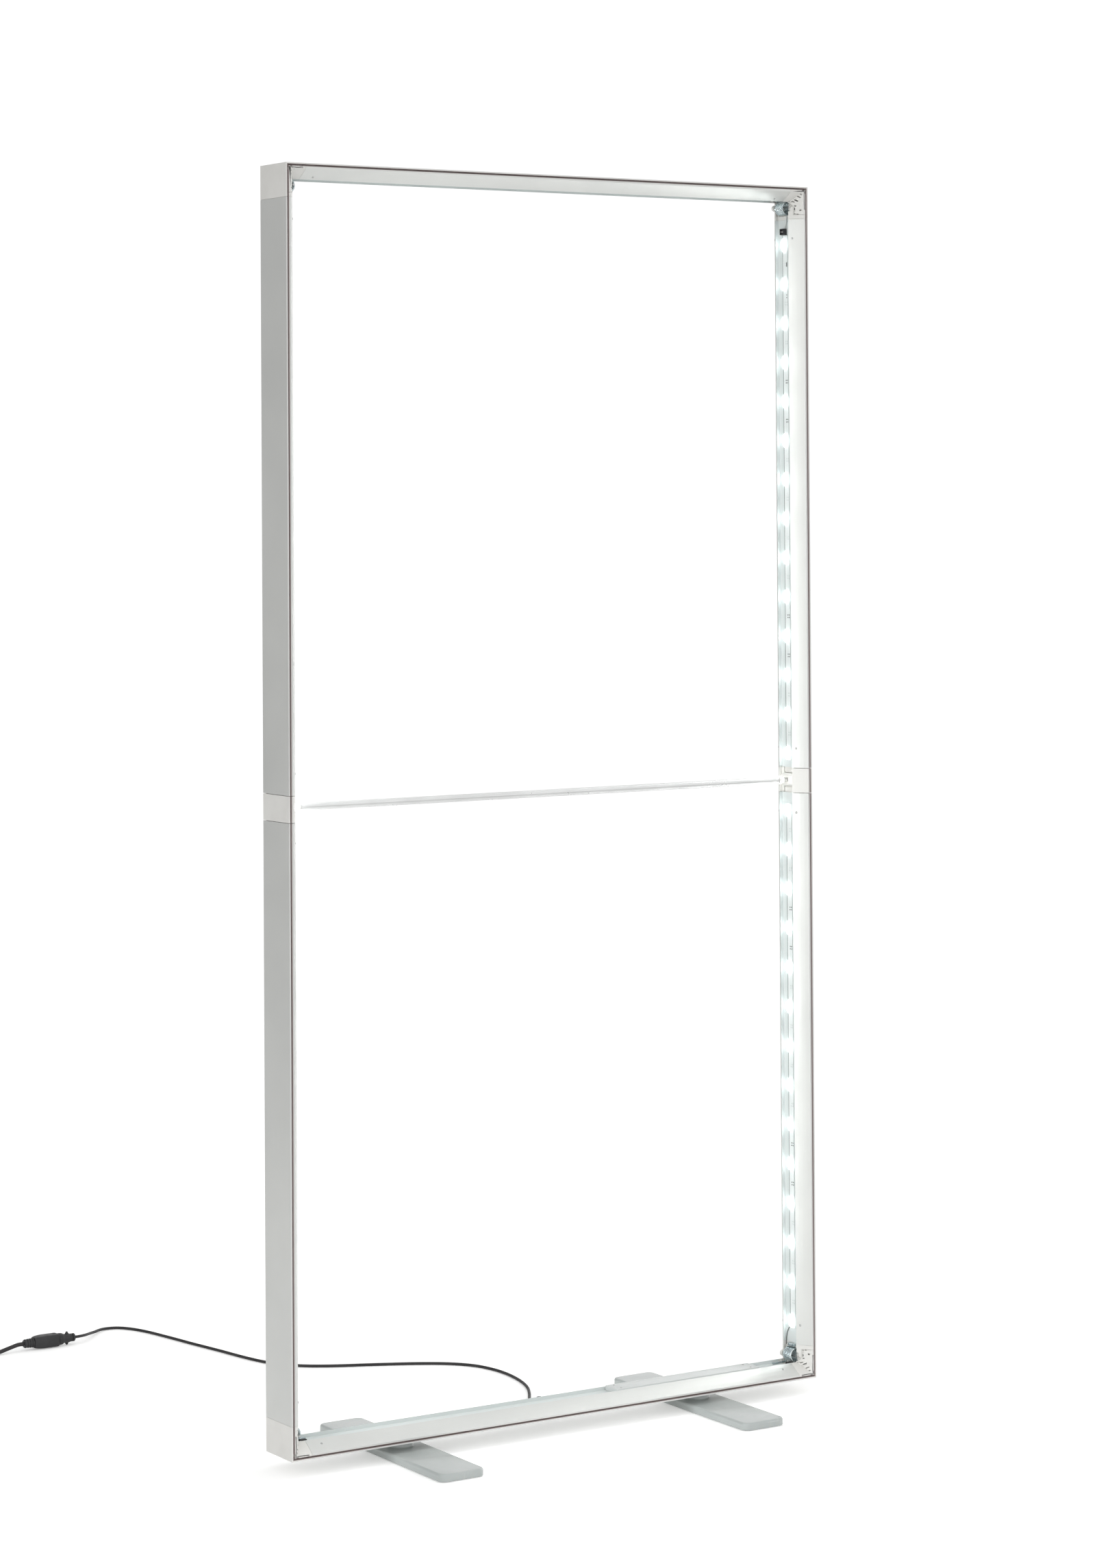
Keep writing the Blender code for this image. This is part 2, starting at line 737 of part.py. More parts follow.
def tube_object(name, points, radius, resolution, material, parent=None):
    """One unbroken tube along points, with filled ends."""
    curve = bpy.data.curves.new(name, 'CURVE')
    curve.dimensions = '3D'
    curve.bevel_depth = radius
    curve.bevel_resolution = resolution
    curve.use_fill_caps = True
    curve.materials.append(material)
    line = curve.splines.new('POLY')
    line.points.add(len(points) - 1)
    for slot, point in zip(line.points, points):
        slot.co = (*point, 1)
    obj = bpy.data.objects.new(name, curve)
    bpy.context.scene.collection.objects.link(obj)
    if parent is not None:
        obj.parent = parent
        obj.matrix_parent_inverse = Matrix.Translation(-parent.location)
    made[name] = obj
    return obj


def least_self_gap(points, radius, apart):
    """Smallest clear gap between stretches of one tube that lie apart along it."""
    least = None
    for i, one in enumerate(points):
        for two in points[i + apart:]:
            gap = (Vector(one) - Vector(two)).length - 2 * radius
            least = gap if least is None else min(least, gap)
    return least


def spring_points(side, level):
    """Arm leg, curls about the hinge and rail leg as one line."""
    start = math.radians(SPRING_START_DEG)
    low_a = FLOOR_U + SEAM + WIRE / 2
    low_b = FLOOR_U + SEAM + WIRE / 2
    first = Vector((HINGE_A + SPRING_RADIUS * math.cos(start), HINGE_B + SPRING_RADIUS * math.sin(start)))
    back = Vector((math.sin(start), -math.cos(start)))
    reach = (low_a - first.x) / back.x
    bend = first + back * reach
    lead_in = bend + Vector((0, abs(reach)))
    flat = [(low_a, SPRING_LEG), (low_a, (SPRING_LEG + lead_in.y) / 2)]
    for i in range(BEND_STEPS):
        t = i / BEND_STEPS
        place = lead_in * (1 - t) ** 2 + bend * 2 * t * (1 - t) + first * t * t
        flat.append((place.x, place.y))
    leg_count = len(flat)
    sweep = math.radians(270) - start + 2 * math.pi * SPRING_TURNS
    count = round(sweep / (2 * math.pi) * CURL_POINTS)
    depth = [-SPRING_FRONT] * leg_count
    rise = sweep / (2 * math.pi) * SPRING_PITCH
    for i in range(count + 1):
        t = i / count
        turn = start + sweep * t
        flat.append((HINGE_A + SPRING_RADIUS * math.cos(turn), HINGE_B + SPRING_RADIUS * math.sin(turn)))
        depth.append(-SPRING_FRONT + rise * t)
    bottom = HINGE_B - SPRING_RADIUS
    for i in range(1, SETTLE_STEPS + 1):
        t = i / SETTLE_STEPS
        flat.append((HINGE_A + SPRING_SETTLE * t, bottom + (low_b - bottom) * smooth_step(t)))
        depth.append(depth[-1])
    flat.append((SPRING_RAIL_LEG, low_b))
    depth.append(depth[-1])
    return [corner_point(side, level, a, b, v) for (a, b), v in zip(flat, depth)]


def make_corner_spring(name, side, level, parent):
    points = spring_points(side, level)
    gap = least_self_gap(points, WIRE / 2, CURL_POINTS - 2)
    print(name, "least self gap mm", round(gap * MM_PER_METRE, 2))
    return tube_object(name, points, WIRE / 2, PLAIN_TUBE_STEPS, spring_steel(), parent)


def make_arm_tip(name, side, level, parent):
    """Plug in the end of an upright, with the tongue that enters the connector."""
    bm = bmesh.new()
    corner_box(bm, side, level, (SPIGOT_LOW, UPRIGHT_END_B - SPIGOT_LENGTH, -SPIGOT_HALF),
               (SPIGOT_HIGH, UPRIGHT_END_B, SPIGOT_HALF))
    obj = add_object(name, mesh_from(bm, name), moulding(), parent)
    add = bmesh.new()
    reach = UPRIGHT_END_B + TIP_GAP + TONGUE_LENGTH
    root = UPRIGHT_END_B - OVERRUN
    low = SPIGOT_HIGH - TONGUE_THICKNESS
    nose = TONGUE_THICKNESS * TONGUE_NOSE_SHARE
    outline = [(low, root), (SPIGOT_HIGH, root), (SPIGOT_HIGH, reach - TONGUE_THICKNESS / 2),
               (SPIGOT_HIGH - nose, reach), (low + nose, reach), (low, reach - TONGUE_THICKNESS / 2)]
    corner_prism(add, side, level, outline, -TONGUE_HALF, TONGUE_HALF)
    boolean(obj, helper(name + "_tongue", add), 'UNION')
    return obj


def make_connector(name, side, parent):
    """Middle connector: profile block with a raised socket and a pocket at each end."""
    bm = bmesh.new()
    outline = profile_outline()
    ends = (CONNECTOR_END_B, HEIGHT - CONNECTOR_END_B)
    loft(bm, [[corner_point(side, -1, u, b, v) for u, v in outline] for b in ends])
    obj = add_object(name, mesh_from(bm, name), moulding(), parent)

    fill = bmesh.new()
    middle = HEIGHT / 2
    half = CHANNEL_WIDTH / 2 + SEAM
    rise = []
    for i in range(BLEND_STEPS + 1):
        t = i / BLEND_STEPS
        rise.append((FLOOR_U + FILL_HEIGHT * smooth_step(t), middle - FILL_HALF + FILL_BLEND * t))
    surface = rise + [(u, 2 * middle - b) for u, b in reversed(rise)]
    outline = [(FLOOR_U - OVERRUN, middle - FILL_HALF)] + surface + [(FLOOR_U - OVERRUN, middle + FILL_HALF)]
    corner_prism(fill, side, -1, outline, -half, half)
    boolean(obj, helper(name + "_fill", fill), 'UNION')

    cut = bmesh.new()
    depth = TONGUE_LENGTH + TONGUE_END_GAP
    floor = SPIGOT_HIGH - TONGUE_THICKNESS - SEAM
    for end, into in ((ends[0], 1), (ends[1], -1)):
        corner_box(cut, side, -1, (floor, end - into * OVERRUN, -TONGUE_HALF - END_GAP),
                   (BAR + OVERRUN, end + into * depth, TONGUE_HALF + END_GAP))
    boolean(obj, helper(name + "_pockets", cut), 'DIFFERENCE')

    bore = bmesh.new()
    bottom = side * (WIDTH / 2 - FILL_TOP + SOCKET_DEPTH)
    mouth = side * (WIDTH / 2 - FILL_TOP - OVERRUN)
    lathe(bore, [(bottom, BAR_PIN_RADIUS + SEAM), (mouth, BAR_PIN_RADIUS + SEAM)], ROUND_SIDES,
          along_x(0, MIDDLE))
    boolean(obj, helper(name + "_socket", bore), 'DIFFERENCE')
    return obj


def make_cross_bar(parent, plunger_joint):
    axis = along_x(0, MIDDLE)
    pin_end = WIDTH / 2 - FILL_TOP + SOCKET_DEPTH - TONGUE_END_GAP
    pin_inner = TUBE_END - BAR_PIN_INNER
    stop = pin_inner - SEAM - PLUNGER_SPRING_LENGTH - SEAM

    bm = bmesh.new()
    lathe(bm, [(stop - STOP_THICKNESS, 0), (stop - STOP_THICKNESS, TUBE_BORE), (-TUBE_END, TUBE_BORE),
               (-TUBE_END, TUBE_RADIUS), (TUBE_END, TUBE_RADIUS), (TUBE_END, TUBE_BORE), (stop, TUBE_BORE),
               (stop, 0)], ROUND_SIDES, axis)
    add_object("cross_bar", mesh_from(bm, "cross_bar"), bar_tube_steel(), parent)

    bm = bmesh.new()
    insert = TUBE_BORE - SEAM
    lathe(bm, [(-pin_end, 0), (-pin_end, BAR_PIN_RADIUS), (-TUBE_END - SLEEVE_LENGTH, BAR_PIN_RADIUS),
               (-TUBE_END - SLEEVE_LENGTH, SLEEVE_RADIUS), (-TUBE_END - SEAM, SLEEVE_RADIUS),
               (-TUBE_END - SEAM, insert), (-TUBE_END + INSERT_DEPTH, insert), (-TUBE_END + INSERT_DEPTH, 0)],
          ROUND_SIDES, axis)
    add_object("cross_bar_sleeve", mesh_from(bm, "cross_bar_sleeve"), moulding(), parent)

    bm = bmesh.new()
    bore = BAR_PIN_RADIUS + SEAM
    inner = TUBE_END - INSERT_DEPTH
    outer = TUBE_END + FERRULE_LENGTH
    ring_lathe(bm, [(inner, bore), (outer, bore), (outer, FERRULE_RADIUS),
                    (TUBE_END + SEAM, FERRULE_RADIUS), (TUBE_END + SEAM, insert), (inner, insert)],
               ROUND_SIDES, axis)
    add_object("cross_bar_ferrule", mesh_from(bm, "cross_bar_ferrule"), moulding(), parent)

    bm = bmesh.new()
    lathe(bm, [(pin_inner, 0), (pin_inner, BAR_PIN_HEAD), (pin_inner + BAR_PIN_HEAD_LENGTH, BAR_PIN_HEAD),
               (pin_inner + BAR_PIN_HEAD_LENGTH, BAR_PIN_RADIUS), (pin_end, BAR_PIN_RADIUS), (pin_end, 0)],
          ROUND_SIDES, axis)
    add_object("cross_bar_plunger", mesh_from(bm, "cross_bar_plunger"), plain_steel(), plunger_joint)

    points = []
    count = PLUNGER_SPRING_TURNS * CURL_POINTS
    start = stop + SEAM + PLUNGER_SPRING_WIRE
    run = PLUNGER_SPRING_LENGTH - 2 * PLUNGER_SPRING_WIRE
    for i in range(count + 1):
        turn = 2 * math.pi * i / CURL_POINTS
        points.append((start + run * i / count, PLUNGER_SPRING_RADIUS * math.cos(turn),
                       MIDDLE + PLUNGER_SPRING_RADIUS * math.sin(turn)))
    gap = least_self_gap(points, PLUNGER_SPRING_WIRE / 2, CURL_POINTS - 2)
    print("plunger_spring least self gap mm", round(gap * MM_PER_METRE, 2))
    tube_object("plunger_spring", points, PLUNGER_SPRING_WIRE / 2, ROUGH_TUBE_STEPS, spring_steel(), parent)


def make_light_strip(prefix, side, level, parent):
    """Board with its row of lenses in the channel of one upright."""
    low = FLOOR_U + SEAM
    top = low + BOARD_THICKNESS
    board_start, first, last = LIGHT_ROWS[level]
    bm = bmesh.new()
    corner_box(bm, side, level, (low, board_start, -BOARD_WIDTH / 2),
               (top, last + BOARD_LENS_MARGIN, BOARD_WIDTH / 2))
    name = prefix + "_led_strip"
    strip = add_object(name, mesh_from(bm, name), light_board(), parent)

    lenses = bmesh.new()
    for k in range(LED_COUNT):
        middle = first + (last - first) * k / (LED_COUNT - 1)
        rings = []
        for height, share in LENS_SHARES:
            ring = []
            for i in range(LENS_SIDES):
                turn = 2 * math.pi * i / LENS_SIDES
                ring.append(corner_point(side, level, top + LENS_HEIGHT * height,
                                         middle + LENS_LENGTH / 2 * share * math.cos(turn),
                                         LENS_WIDTH / 2 * share * math.sin(turn)))
            rings.append(ring)
        loft(lenses, rings)
    boolean(strip, helper(name + "_lenses", lenses), 'UNION')


def make_strip_connector(prefix, side, parent):
    """Connector at the upper end of an upper light strip."""
    low = FLOOR_U + SEAM
    bm = bmesh.new()
    end = UPPER_BOARD_MARGIN - SEAM
    start = end - CONNECTOR_BLOCK_LENGTH
    half = CONNECTOR_BLOCK_WIDTH / 2
    high = low + CONNECTOR_BLOCK_HEIGHT
    key = high - CONNECTOR_KEY
    outline = [(low, -half), (high, -half), (high, -CONNECTOR_KEY), (key, -CONNECTOR_KEY),
               (key, CONNECTOR_KEY), (high, CONNECTOR_KEY), (high, half), (low, half)]
    loft(bm, [[corner_point(side, 1, u, b, v) for u, v in outline] for b in (start, end)])
    add_object(prefix + "_led_connector", mesh_from(bm, prefix + "_led_connector"), black_plastic(), parent)


def make_driver():
    low = UNDERSIDE + FLOOR_U + SEAM
    bm = bmesh.new()
    box(bm, (DRIVER_START, -DRIVER_WIDTH / 2, low), (DRIVER_END, DRIVER_WIDTH / 2, low + DRIVER_HEIGHT))
    bmesh.ops.recalc_face_normals(bm, faces=bm.faces)
    top = low + DRIVER_HEIGHT
    edges = [e for e in bm.edges if all(abs(v.co.z - top) < SEAM for v in e.verts)]
    bmesh.ops.bevel(bm, geom=edges, offset=DRIVER_EDGE, segments=EDGE_STEPS, affect='EDGES',
                    profile=ROUND_SHARE)
    add_object("led_driver", mesh_from(bm, "led_driver"), driver_case())


def foot_side_outline():
    """Side view of a foot as (y, z): thick ends and a waist below the frame."""
    half = FOOT_LENGTH / 2
    rise = []
    for i in range(SHOULDER_STEPS + 1):
        t = i / SHOULDER_STEPS
        rise.append((FOOT_WAIST_HALF + FOOT_SHOULDER * t,
                     FOOT_WAIST_TOP + (FOOT_TOP - FOOT_WAIST_TOP) * smooth_step(t)))
    right = rise + [(half, FOOT_TOP), (half, FOOT_BASE)]
    left = [(-y, z) for y, z in reversed(right)]
    return right + left


def make_foot(name, x, joint):
    bm = bmesh.new()
    outline = foot_side_outline()
    loft(bm, [[(x + side * FOOT_WIDTH / 2, y, z) for y, z in outline] for side in (-1, 1)])
    bmesh.ops.recalc_face_normals(bm, faces=bm.faces)
    half = FOOT_LENGTH / 2
    corners = [e for e in bm.edges if all(abs(abs(v.co.y) - half) < SEAM for v in e.verts)
               and abs(e.verts[0].co.z - e.verts[1].co.z) > SEAM]
    bmesh.ops.bevel(bm, geom=corners, offset=FOOT_CORNER, segments=FOOT_CORNER_STEPS, affect='EDGES',
                    profile=ROUND_SHARE)
    bm.normal_update()
    rim = [e for e in bm.edges if len(e.link_faces) == 2
           and max(f.normal.z for f in e.link_faces) > TOP_NORMAL_SHARE
           and min(abs(f.normal.z) for f in e.link_faces) < SIDE_NORMAL_SHARE]
    bmesh.ops.bevel(bm, geom=rim, offset=FOOT_EDGE, segments=EDGE_STEPS, affect='EDGES',
                    profile=ROUND_SHARE)
    obj = add_object(name, mesh_from(bm, name), foot_paint(), joint)

    boss = bmesh.new()
    lathe(boss, [(FOOT_WAIST_TOP - OVERRUN, BOSS_RADIUS), (UNDERSIDE - SEAM, BOSS_RADIUS)], FINE_SIDES,
          along_z(x, 0))
    boolean(obj, helper(name + "_boss", boss), 'UNION')
    cut = bmesh.new()
    head = BOLT_HEAD_START + BOLT_HEAD_HEIGHT + SEAM
    hole = BOLT_RADIUS + BOLT_CLEARANCE
    lathe(cut, [(FOOT_BASE - OVERRUN, BOLT_HEAD_RADIUS + SEAM), (head, BOLT_HEAD_RADIUS + SEAM), (head, hole),
                (UNDERSIDE + OVERRUN, hole)], ROUND_SIDES, along_z(x, 0))
    boolean(obj, helper(name + "_bolt_hole", cut), 'DIFFERENCE')
    sockets = bmesh.new()
    for end in (-1, 1):
        pad_shape(sockets, x, end, SEAM, FOOT_BASE - OVERRUN, PAD_THICKNESS + SEAM)
    boolean(obj, helper(name + "_pad_sockets", sockets), 'DIFFERENCE')
    return obj


def pad_shape(bm, x, end, grow, low, high):
    """Pad across one end of a foot, its corners rounded."""
    radius = PAD_CORNER + grow
    half_x = PAD_LENGTH / 2 + grow - radius
    half_y = PAD_WIDTH / 2 + grow - radius
    middle = end * (FOOT_LENGTH / 2 - PAD_INSET)
    outline = []
    for quarter, (sx, sy) in enumerate(((1, 1), (-1, 1), (-1, -1), (1, -1))):
        for i in range(PAD_CORNER_STEPS + 1):
            turn = math.radians(90) * (quarter + i / PAD_CORNER_STEPS)
            outline.append((x + sx * half_x + radius * math.cos(turn),
                            middle + sy * half_y + radius * math.sin(turn)))
    loft(bm, [[(px, py, z) for px, py in outline] for z in (low, high)])


def make_foot_pad(name, x, end, joint):
    bm = bmesh.new()
    pad_shape(bm, x, end, 0, 0, PAD_THICKNESS)
    add_object(name, mesh_from(bm, name), black_rubber(), joint)


def make_foot_bolt(name, x):
    """Swivel bolt up through the boss and the bar's wall into a threaded plate."""
    low = UNDERSIDE + WALL + SEAM
    bm = bmesh.new()
    lathe(bm, [(BOLT_HEAD_START, 0), (BOLT_HEAD_START, BOLT_HEAD_RADIUS),
               (BOLT_HEAD_START + BOLT_HEAD_HEIGHT, BOLT_HEAD_RADIUS),
               (BOLT_HEAD_START + BOLT_HEAD_HEIGHT, BOLT_RADIUS),
               (low + NUT_PLATE_THICKNESS, BOLT_RADIUS), (low + NUT_PLATE_THICKNESS, 0)], ROUND_SIDES,
          along_z(x, 0))
    obj = add_object(name, mesh_from(bm, name), plain_steel())
    plate = bmesh.new()
    half = NUT_PLATE / 2
    box(plate, (x - half, -half, low), (x + half, half, low + NUT_PLATE_THICKNESS))
    boolean(obj, helper(name + "_plate", plate), 'UNION')


def drill_bottom_rail(rail):
    holes = bmesh.new()
    for x in (-FOOT_X, FOOT_X):
        lathe(holes, [(UNDERSIDE - OVERRUN, BOLT_RADIUS + BOLT_CLEARANCE),
                      (UNDERSIDE + WALL + OVERRUN, BOLT_RADIUS + BOLT_CLEARANCE)], ROUND_SIDES, along_z(x, 0))
    boolean(rail, helper("bottom_rail_bolt_holes", holes), 'DIFFERENCE')
    outlet = bmesh.new()
    radius = GROMMET_RADIUS + SEAM
    lathe(outlet, [(DEPTH / 2 - GROMMET_INNER, radius), (DEPTH / 2 + OVERRUN, radius)], ROUND_SIDES,
          along_y(GROMMET_X, LEAD_HEIGHT))
    boolean(rail, helper("bottom_rail_lead_outlet", outlet), 'DIFFERENCE')


def make_grommet():
    inner = DEPTH / 2 - GROMMET_INNER + SEAM
    bm = bmesh.new()
    rim = DEPTH / 2 + SEAM
    outer = rim + GROMMET_FLANGE
    lathe(bm, [(inner, 0), (inner, GROMMET_RADIUS), (rim, GROMMET_RADIUS), (rim, GROMMET_FLANGE_RADIUS),
               (outer, GROMMET_FLANGE_RADIUS), (outer, 0)], ROUND_SIDES, along_y(GROMMET_X, LEAD_HEIGHT))
    add_object("lead_grommet", mesh_from(bm, "lead_grommet"), black_rubber())


def smooth_line(route, step):
    """Evenly spaced points on a smooth curve through the route's points."""
    spots = [Vector(p) for p in route]
    spots = [spots[0] * 2 - spots[1]] + spots + [spots[-1] * 2 - spots[-2]]
    dense = []
    for p0, p1, p2, p3 in zip(spots, spots[1:], spots[2:], spots[3:]):
        knots = [0.0]
        for one, two in ((p0, p1), (p1, p2), (p2, p3)):
            knots.append(knots[-1] + math.sqrt((two - one).length))
        for i in range(LINE_STEPS):
            t = knots[1] + (knots[2] - knots[1]) * i / LINE_STEPS
            a1 = p0.lerp(p1, (t - knots[0]) / (knots[1] - knots[0]))
            a2 = p1.lerp(p2, (t - knots[1]) / (knots[2] - knots[1]))
            a3 = p2.lerp(p3, (t - knots[2]) / (knots[3] - knots[2]))
            b1 = a1.lerp(a2, (t - knots[0]) / (knots[2] - knots[0]))
            b2 = a2.lerp(a3, (t - knots[1]) / (knots[3] - knots[1]))
            dense.append(b1.lerp(b2, (t - knots[1]) / (knots[2] - knots[1])))
    dense.append(spots[-2])
    lengths = [0.0]
    for one, two in zip(dense, dense[1:]):
        lengths.append(lengths[-1] + (two - one).length)
    count = max(2, round(lengths[-1] / step))
    points = []
    k = 0
    for i in range(count + 1):
        want = lengths[-1] * i / count
        while k < len(dense) - 2 and lengths[k + 1] < want:
            k += 1
        share = (want - lengths[k]) / (lengths[k + 1] - lengths[k])
        points.append(dense[k].lerp(dense[k + 1], share))
    return points, lengths[-1]


def make_frame_lead():
    start = (GROMMET_X, DEPTH / 2 + GROMMET_FLANGE + 2 * SEAM, LEAD_HEIGHT)
    end = (INLINE_X + 2 * SEAM, INLINE_Y, INLINE_Z)
    points, length = smooth_line((start,) + LEAD_ROUTE + (end,), LEAD_STEP)
    print("frame_lead length m", round(length, 3), "points", len(points))
    tube_object("frame_lead", points, LEAD_RADIUS, FINE_TUBE_STEPS, lead_sheath())


def make_inline_connector():
    """Latched inline pair: the frame's half and the mains half, end to end along X."""
    axis = along_x(INLINE_Y, INLINE_Z)
    face = INLINE_X - INLINE_SOCKET_LENGTH
    bm = bmesh.new()
    body = [(INLINE_X, 0)] + [(INLINE_X - along, radius) for along, radius in SOCKET_PROFILE]
    lathe(bm, body + [(face, SOCKET_FACE_RADIUS), (face, 0)], ROUND_SIDES, axis)
    obj = add_object("lead_socket", mesh_from(bm, "lead_socket"), black_plastic())
    middle = INLINE_X - WING_PLACE
    outline = [(middle - WING_ROOT_HALF, 0), (middle - WING_TIP_HALF, WING_REACH),
               (middle + WING_TIP_HALF, WING_REACH), (middle + WING_ROOT_HALF, 0),
               (middle + WING_TIP_HALF, -WING_REACH), (middle - WING_TIP_HALF, -WING_REACH)]
    wings = bmesh.new()
    loft(wings, [[(x, INLINE_Y + way * WING_THICKNESS / 2, INLINE_Z + up) for x, up in outline]
                 for way in (-1, 1)])
    boolean(obj, helper("lead_socket_wings", wings), 'UNION')

    start = face - SEAM
    bm = bmesh.new()
    rings = []
    for along, across, up in PLUG_SECTIONS:
        side, top = across - PLUG_CHAMFER, up - PLUG_CHAMFER
        corners = [(across, top), (side, up), (-side, up), (-across, top),
                   (-across, -top), (-side, -up), (side, -up), (across, -top)]
        rings.append([(start - along, INLINE_Y + y, INLINE_Z + z) for y, z in corners])
    loft(bm, rings)
    plug = add_object("lead_plug", mesh_from(bm, "lead_plug"), black_plastic())
    root = start - PLUG_SECTIONS[-1][0]
    end = root - RELIEF_LENGTH
    relief = [(root + OVERRUN, 0), (root + OVERRUN, RELIEF_ROOT - RIB_DEPTH)]
    for rib in range(RELIEF_RIBS):
        for along, out in RIB_SHARES:
            t = (rib + along) / RELIEF_RIBS
            radius = RELIEF_ROOT + (RELIEF_END - RELIEF_ROOT) * t
            relief.append((root - RELIEF_LENGTH * t, radius - RIB_DEPTH * (1 - out)))
    bm = bmesh.new()
    lathe(bm, relief + [(end, RELIEF_END - 2 * RIB_DEPTH), (end, 0)], ROUND_SIDES, axis)
    boolean(plug, helper("lead_plug_relief", bm), 'UNION')
    return end


def coil_points():
    """Two layers of loops: spiral in on the floor, climb, spiral out on top."""
    ahead = coil_heading()
    right = Vector((ahead.y, -ahead.x))
    start = Vector((COIL_START_X, COIL_START_Y))
    centre = start + right * COIL_OUTER
    begin = math.atan2(start.y - centre.y, start.x - centre.x)
    straight = 2 * MAINS_RADIUS
    top = MAINS_FLOOR + COIL_LAYER
    points = [Vector((*(start - ahead * straight), MAINS_FLOOR))]
    count = 2 * COIL_TURNS * COIL_POINTS
    for i in range(count + 1):
        turns = i / COIL_POINTS
        inward = min(turns, 2 * COIL_TURNS - turns)
        radius = COIL_OUTER - COIL_PITCH * inward
        turn = begin - 2 * math.pi * turns
        climb = smooth_step((turns - COIL_TURNS) / COIL_CLIMB_TURNS + 1 / 2)
        points.append(Vector((centre.x + radius * math.cos(turn), centre.y + radius * math.sin(turn),
                              MAINS_FLOOR + COIL_LAYER * climb)))
    points.append(Vector((*(start + ahead * straight), top)))
    return points


def make_mains_lead(start_x):
    start = (start_x - 2 * SEAM, INLINE_Y, INLINE_Z)
    points, seen = smooth_line((start,) + MAINS_ROUTE + (mains_end(),), MAINS_STEP)
    tube_object("mains_lead", points, MAINS_RADIUS, FINE_TUBE_STEPS, lead_sheath())
    coil = coil_points()
    gap = least_self_gap(coil, MAINS_RADIUS, COIL_POINTS // 2)
    wound = sum((two - one).length for one, two in zip(coil, coil[1:]))
    print("mains_lead_coil least self gap mm", round(gap * MM_PER_METRE, 2))
    tube_object("mains_lead_coil", coil, MAINS_RADIUS, PLAIN_TUBE_STEPS, lead_sheath())
    tail, run = smooth_line(tail_route(), MAINS_STEP)
    tube_object("mains_lead_tail", tail, MAINS_RADIUS, FINE_TUBE_STEPS, lead_sheath())
    print("mains lead length m", round(seen + wound + run, 3), "of it wound", round(wound, 3))


def coil_heading():
    heading = math.radians(COIL_HEADING_DEG)
    return Vector((math.cos(heading), math.sin(heading)))


def mains_end():
    start = Vector((COIL_START_X, COIL_START_Y)) - coil_heading() * (2 * MAINS_RADIUS + SEAM)
    return (start.x, start.y, MAINS_FLOOR)


def plug_start():
    run = 2 * MAINS_RADIUS + TAIL_RUN
    start = Vector((COIL_START_X, COIL_START_Y)) + coil_heading() * run
    side = Vector((-coil_heading().y, coil_heading().x)) * TAIL_BEND
    return start + side


def tail_route():
    """From the top layer of the coil down to the floor and up into the plug."""
    ahead = coil_heading()
    side = Vector((-ahead.y, ahead.x))
    start = Vector((COIL_START_X, COIL_START_Y)) + ahead * (2 * MAINS_RADIUS + SEAM)
    end = plug_start() - ahead * SEAM
    route = [(*start, MAINS_FLOOR + COIL_LAYER)]
    for along, across, up in TAIL_ROUTE_SHARES:
        place = start + ahead * TAIL_RUN * along + side * TAIL_BEND * across
        route.append((*place, MAINS_FLOOR + COIL_LAYER * up))
    route.append((*end, PLUG_HEIGHT))
    return tuple(route)


def make_mains_plug():
    ahead = coil_heading()
    side = Vector((-ahead.y, ahead.x))
    start = plug_start()

    def axis(along, across, up):
        place = start + ahead * along + side * across
        return (place.x, place.y, PLUG_HEIGHT + up)

    neck = PLUG_RELIEF_LENGTH
    body = neck + PLUG_BODY_LENGTH - PLUG_FACE_LENGTH
    face = neck + PLUG_BODY_LENGTH
    bm = bmesh.new()
    lathe(bm, [(0, 0), (0, MAINS_RADIUS + RIB_DEPTH), (neck, PLUG_RELIEF_RADIUS), (neck, PLUG_NECK_RADIUS),
               (neck + PLUG_FACE_LENGTH / 2, PLUG_NECK_RADIUS + RIB_DEPTH), (body, PLUG_RADIUS - RIB_DEPTH),
               (body + RIB_DEPTH, PLUG_RADIUS), (face - RIB_DEPTH, PLUG_RADIUS),
               (face, PLUG_RADIUS - RIB_DEPTH), (face, 0)], FINE_SIDES, axis)
    obj = add_object("mains_plug", mesh_from(bm, "mains_plug"), black_plastic())
    pins = bmesh.new()
    tip = face + PLUG_PIN_LENGTH
    for way in (-1, 1):
        def pin_axis(along, across, up, way=way):
            return axis(along, across + way * PLUG_PIN_SPACING / 2, up)
        lathe(pins, [(face - OVERRUN, PLUG_PIN_RADIUS), (tip - PLUG_PIN_RADIUS / 2, PLUG_PIN_RADIUS),
                     (tip, PLUG_PIN_RADIUS / 2)], SMALL_SIDES, pin_axis)
    boolean(obj, helper("mains_plug_pins", pins), 'UNION')


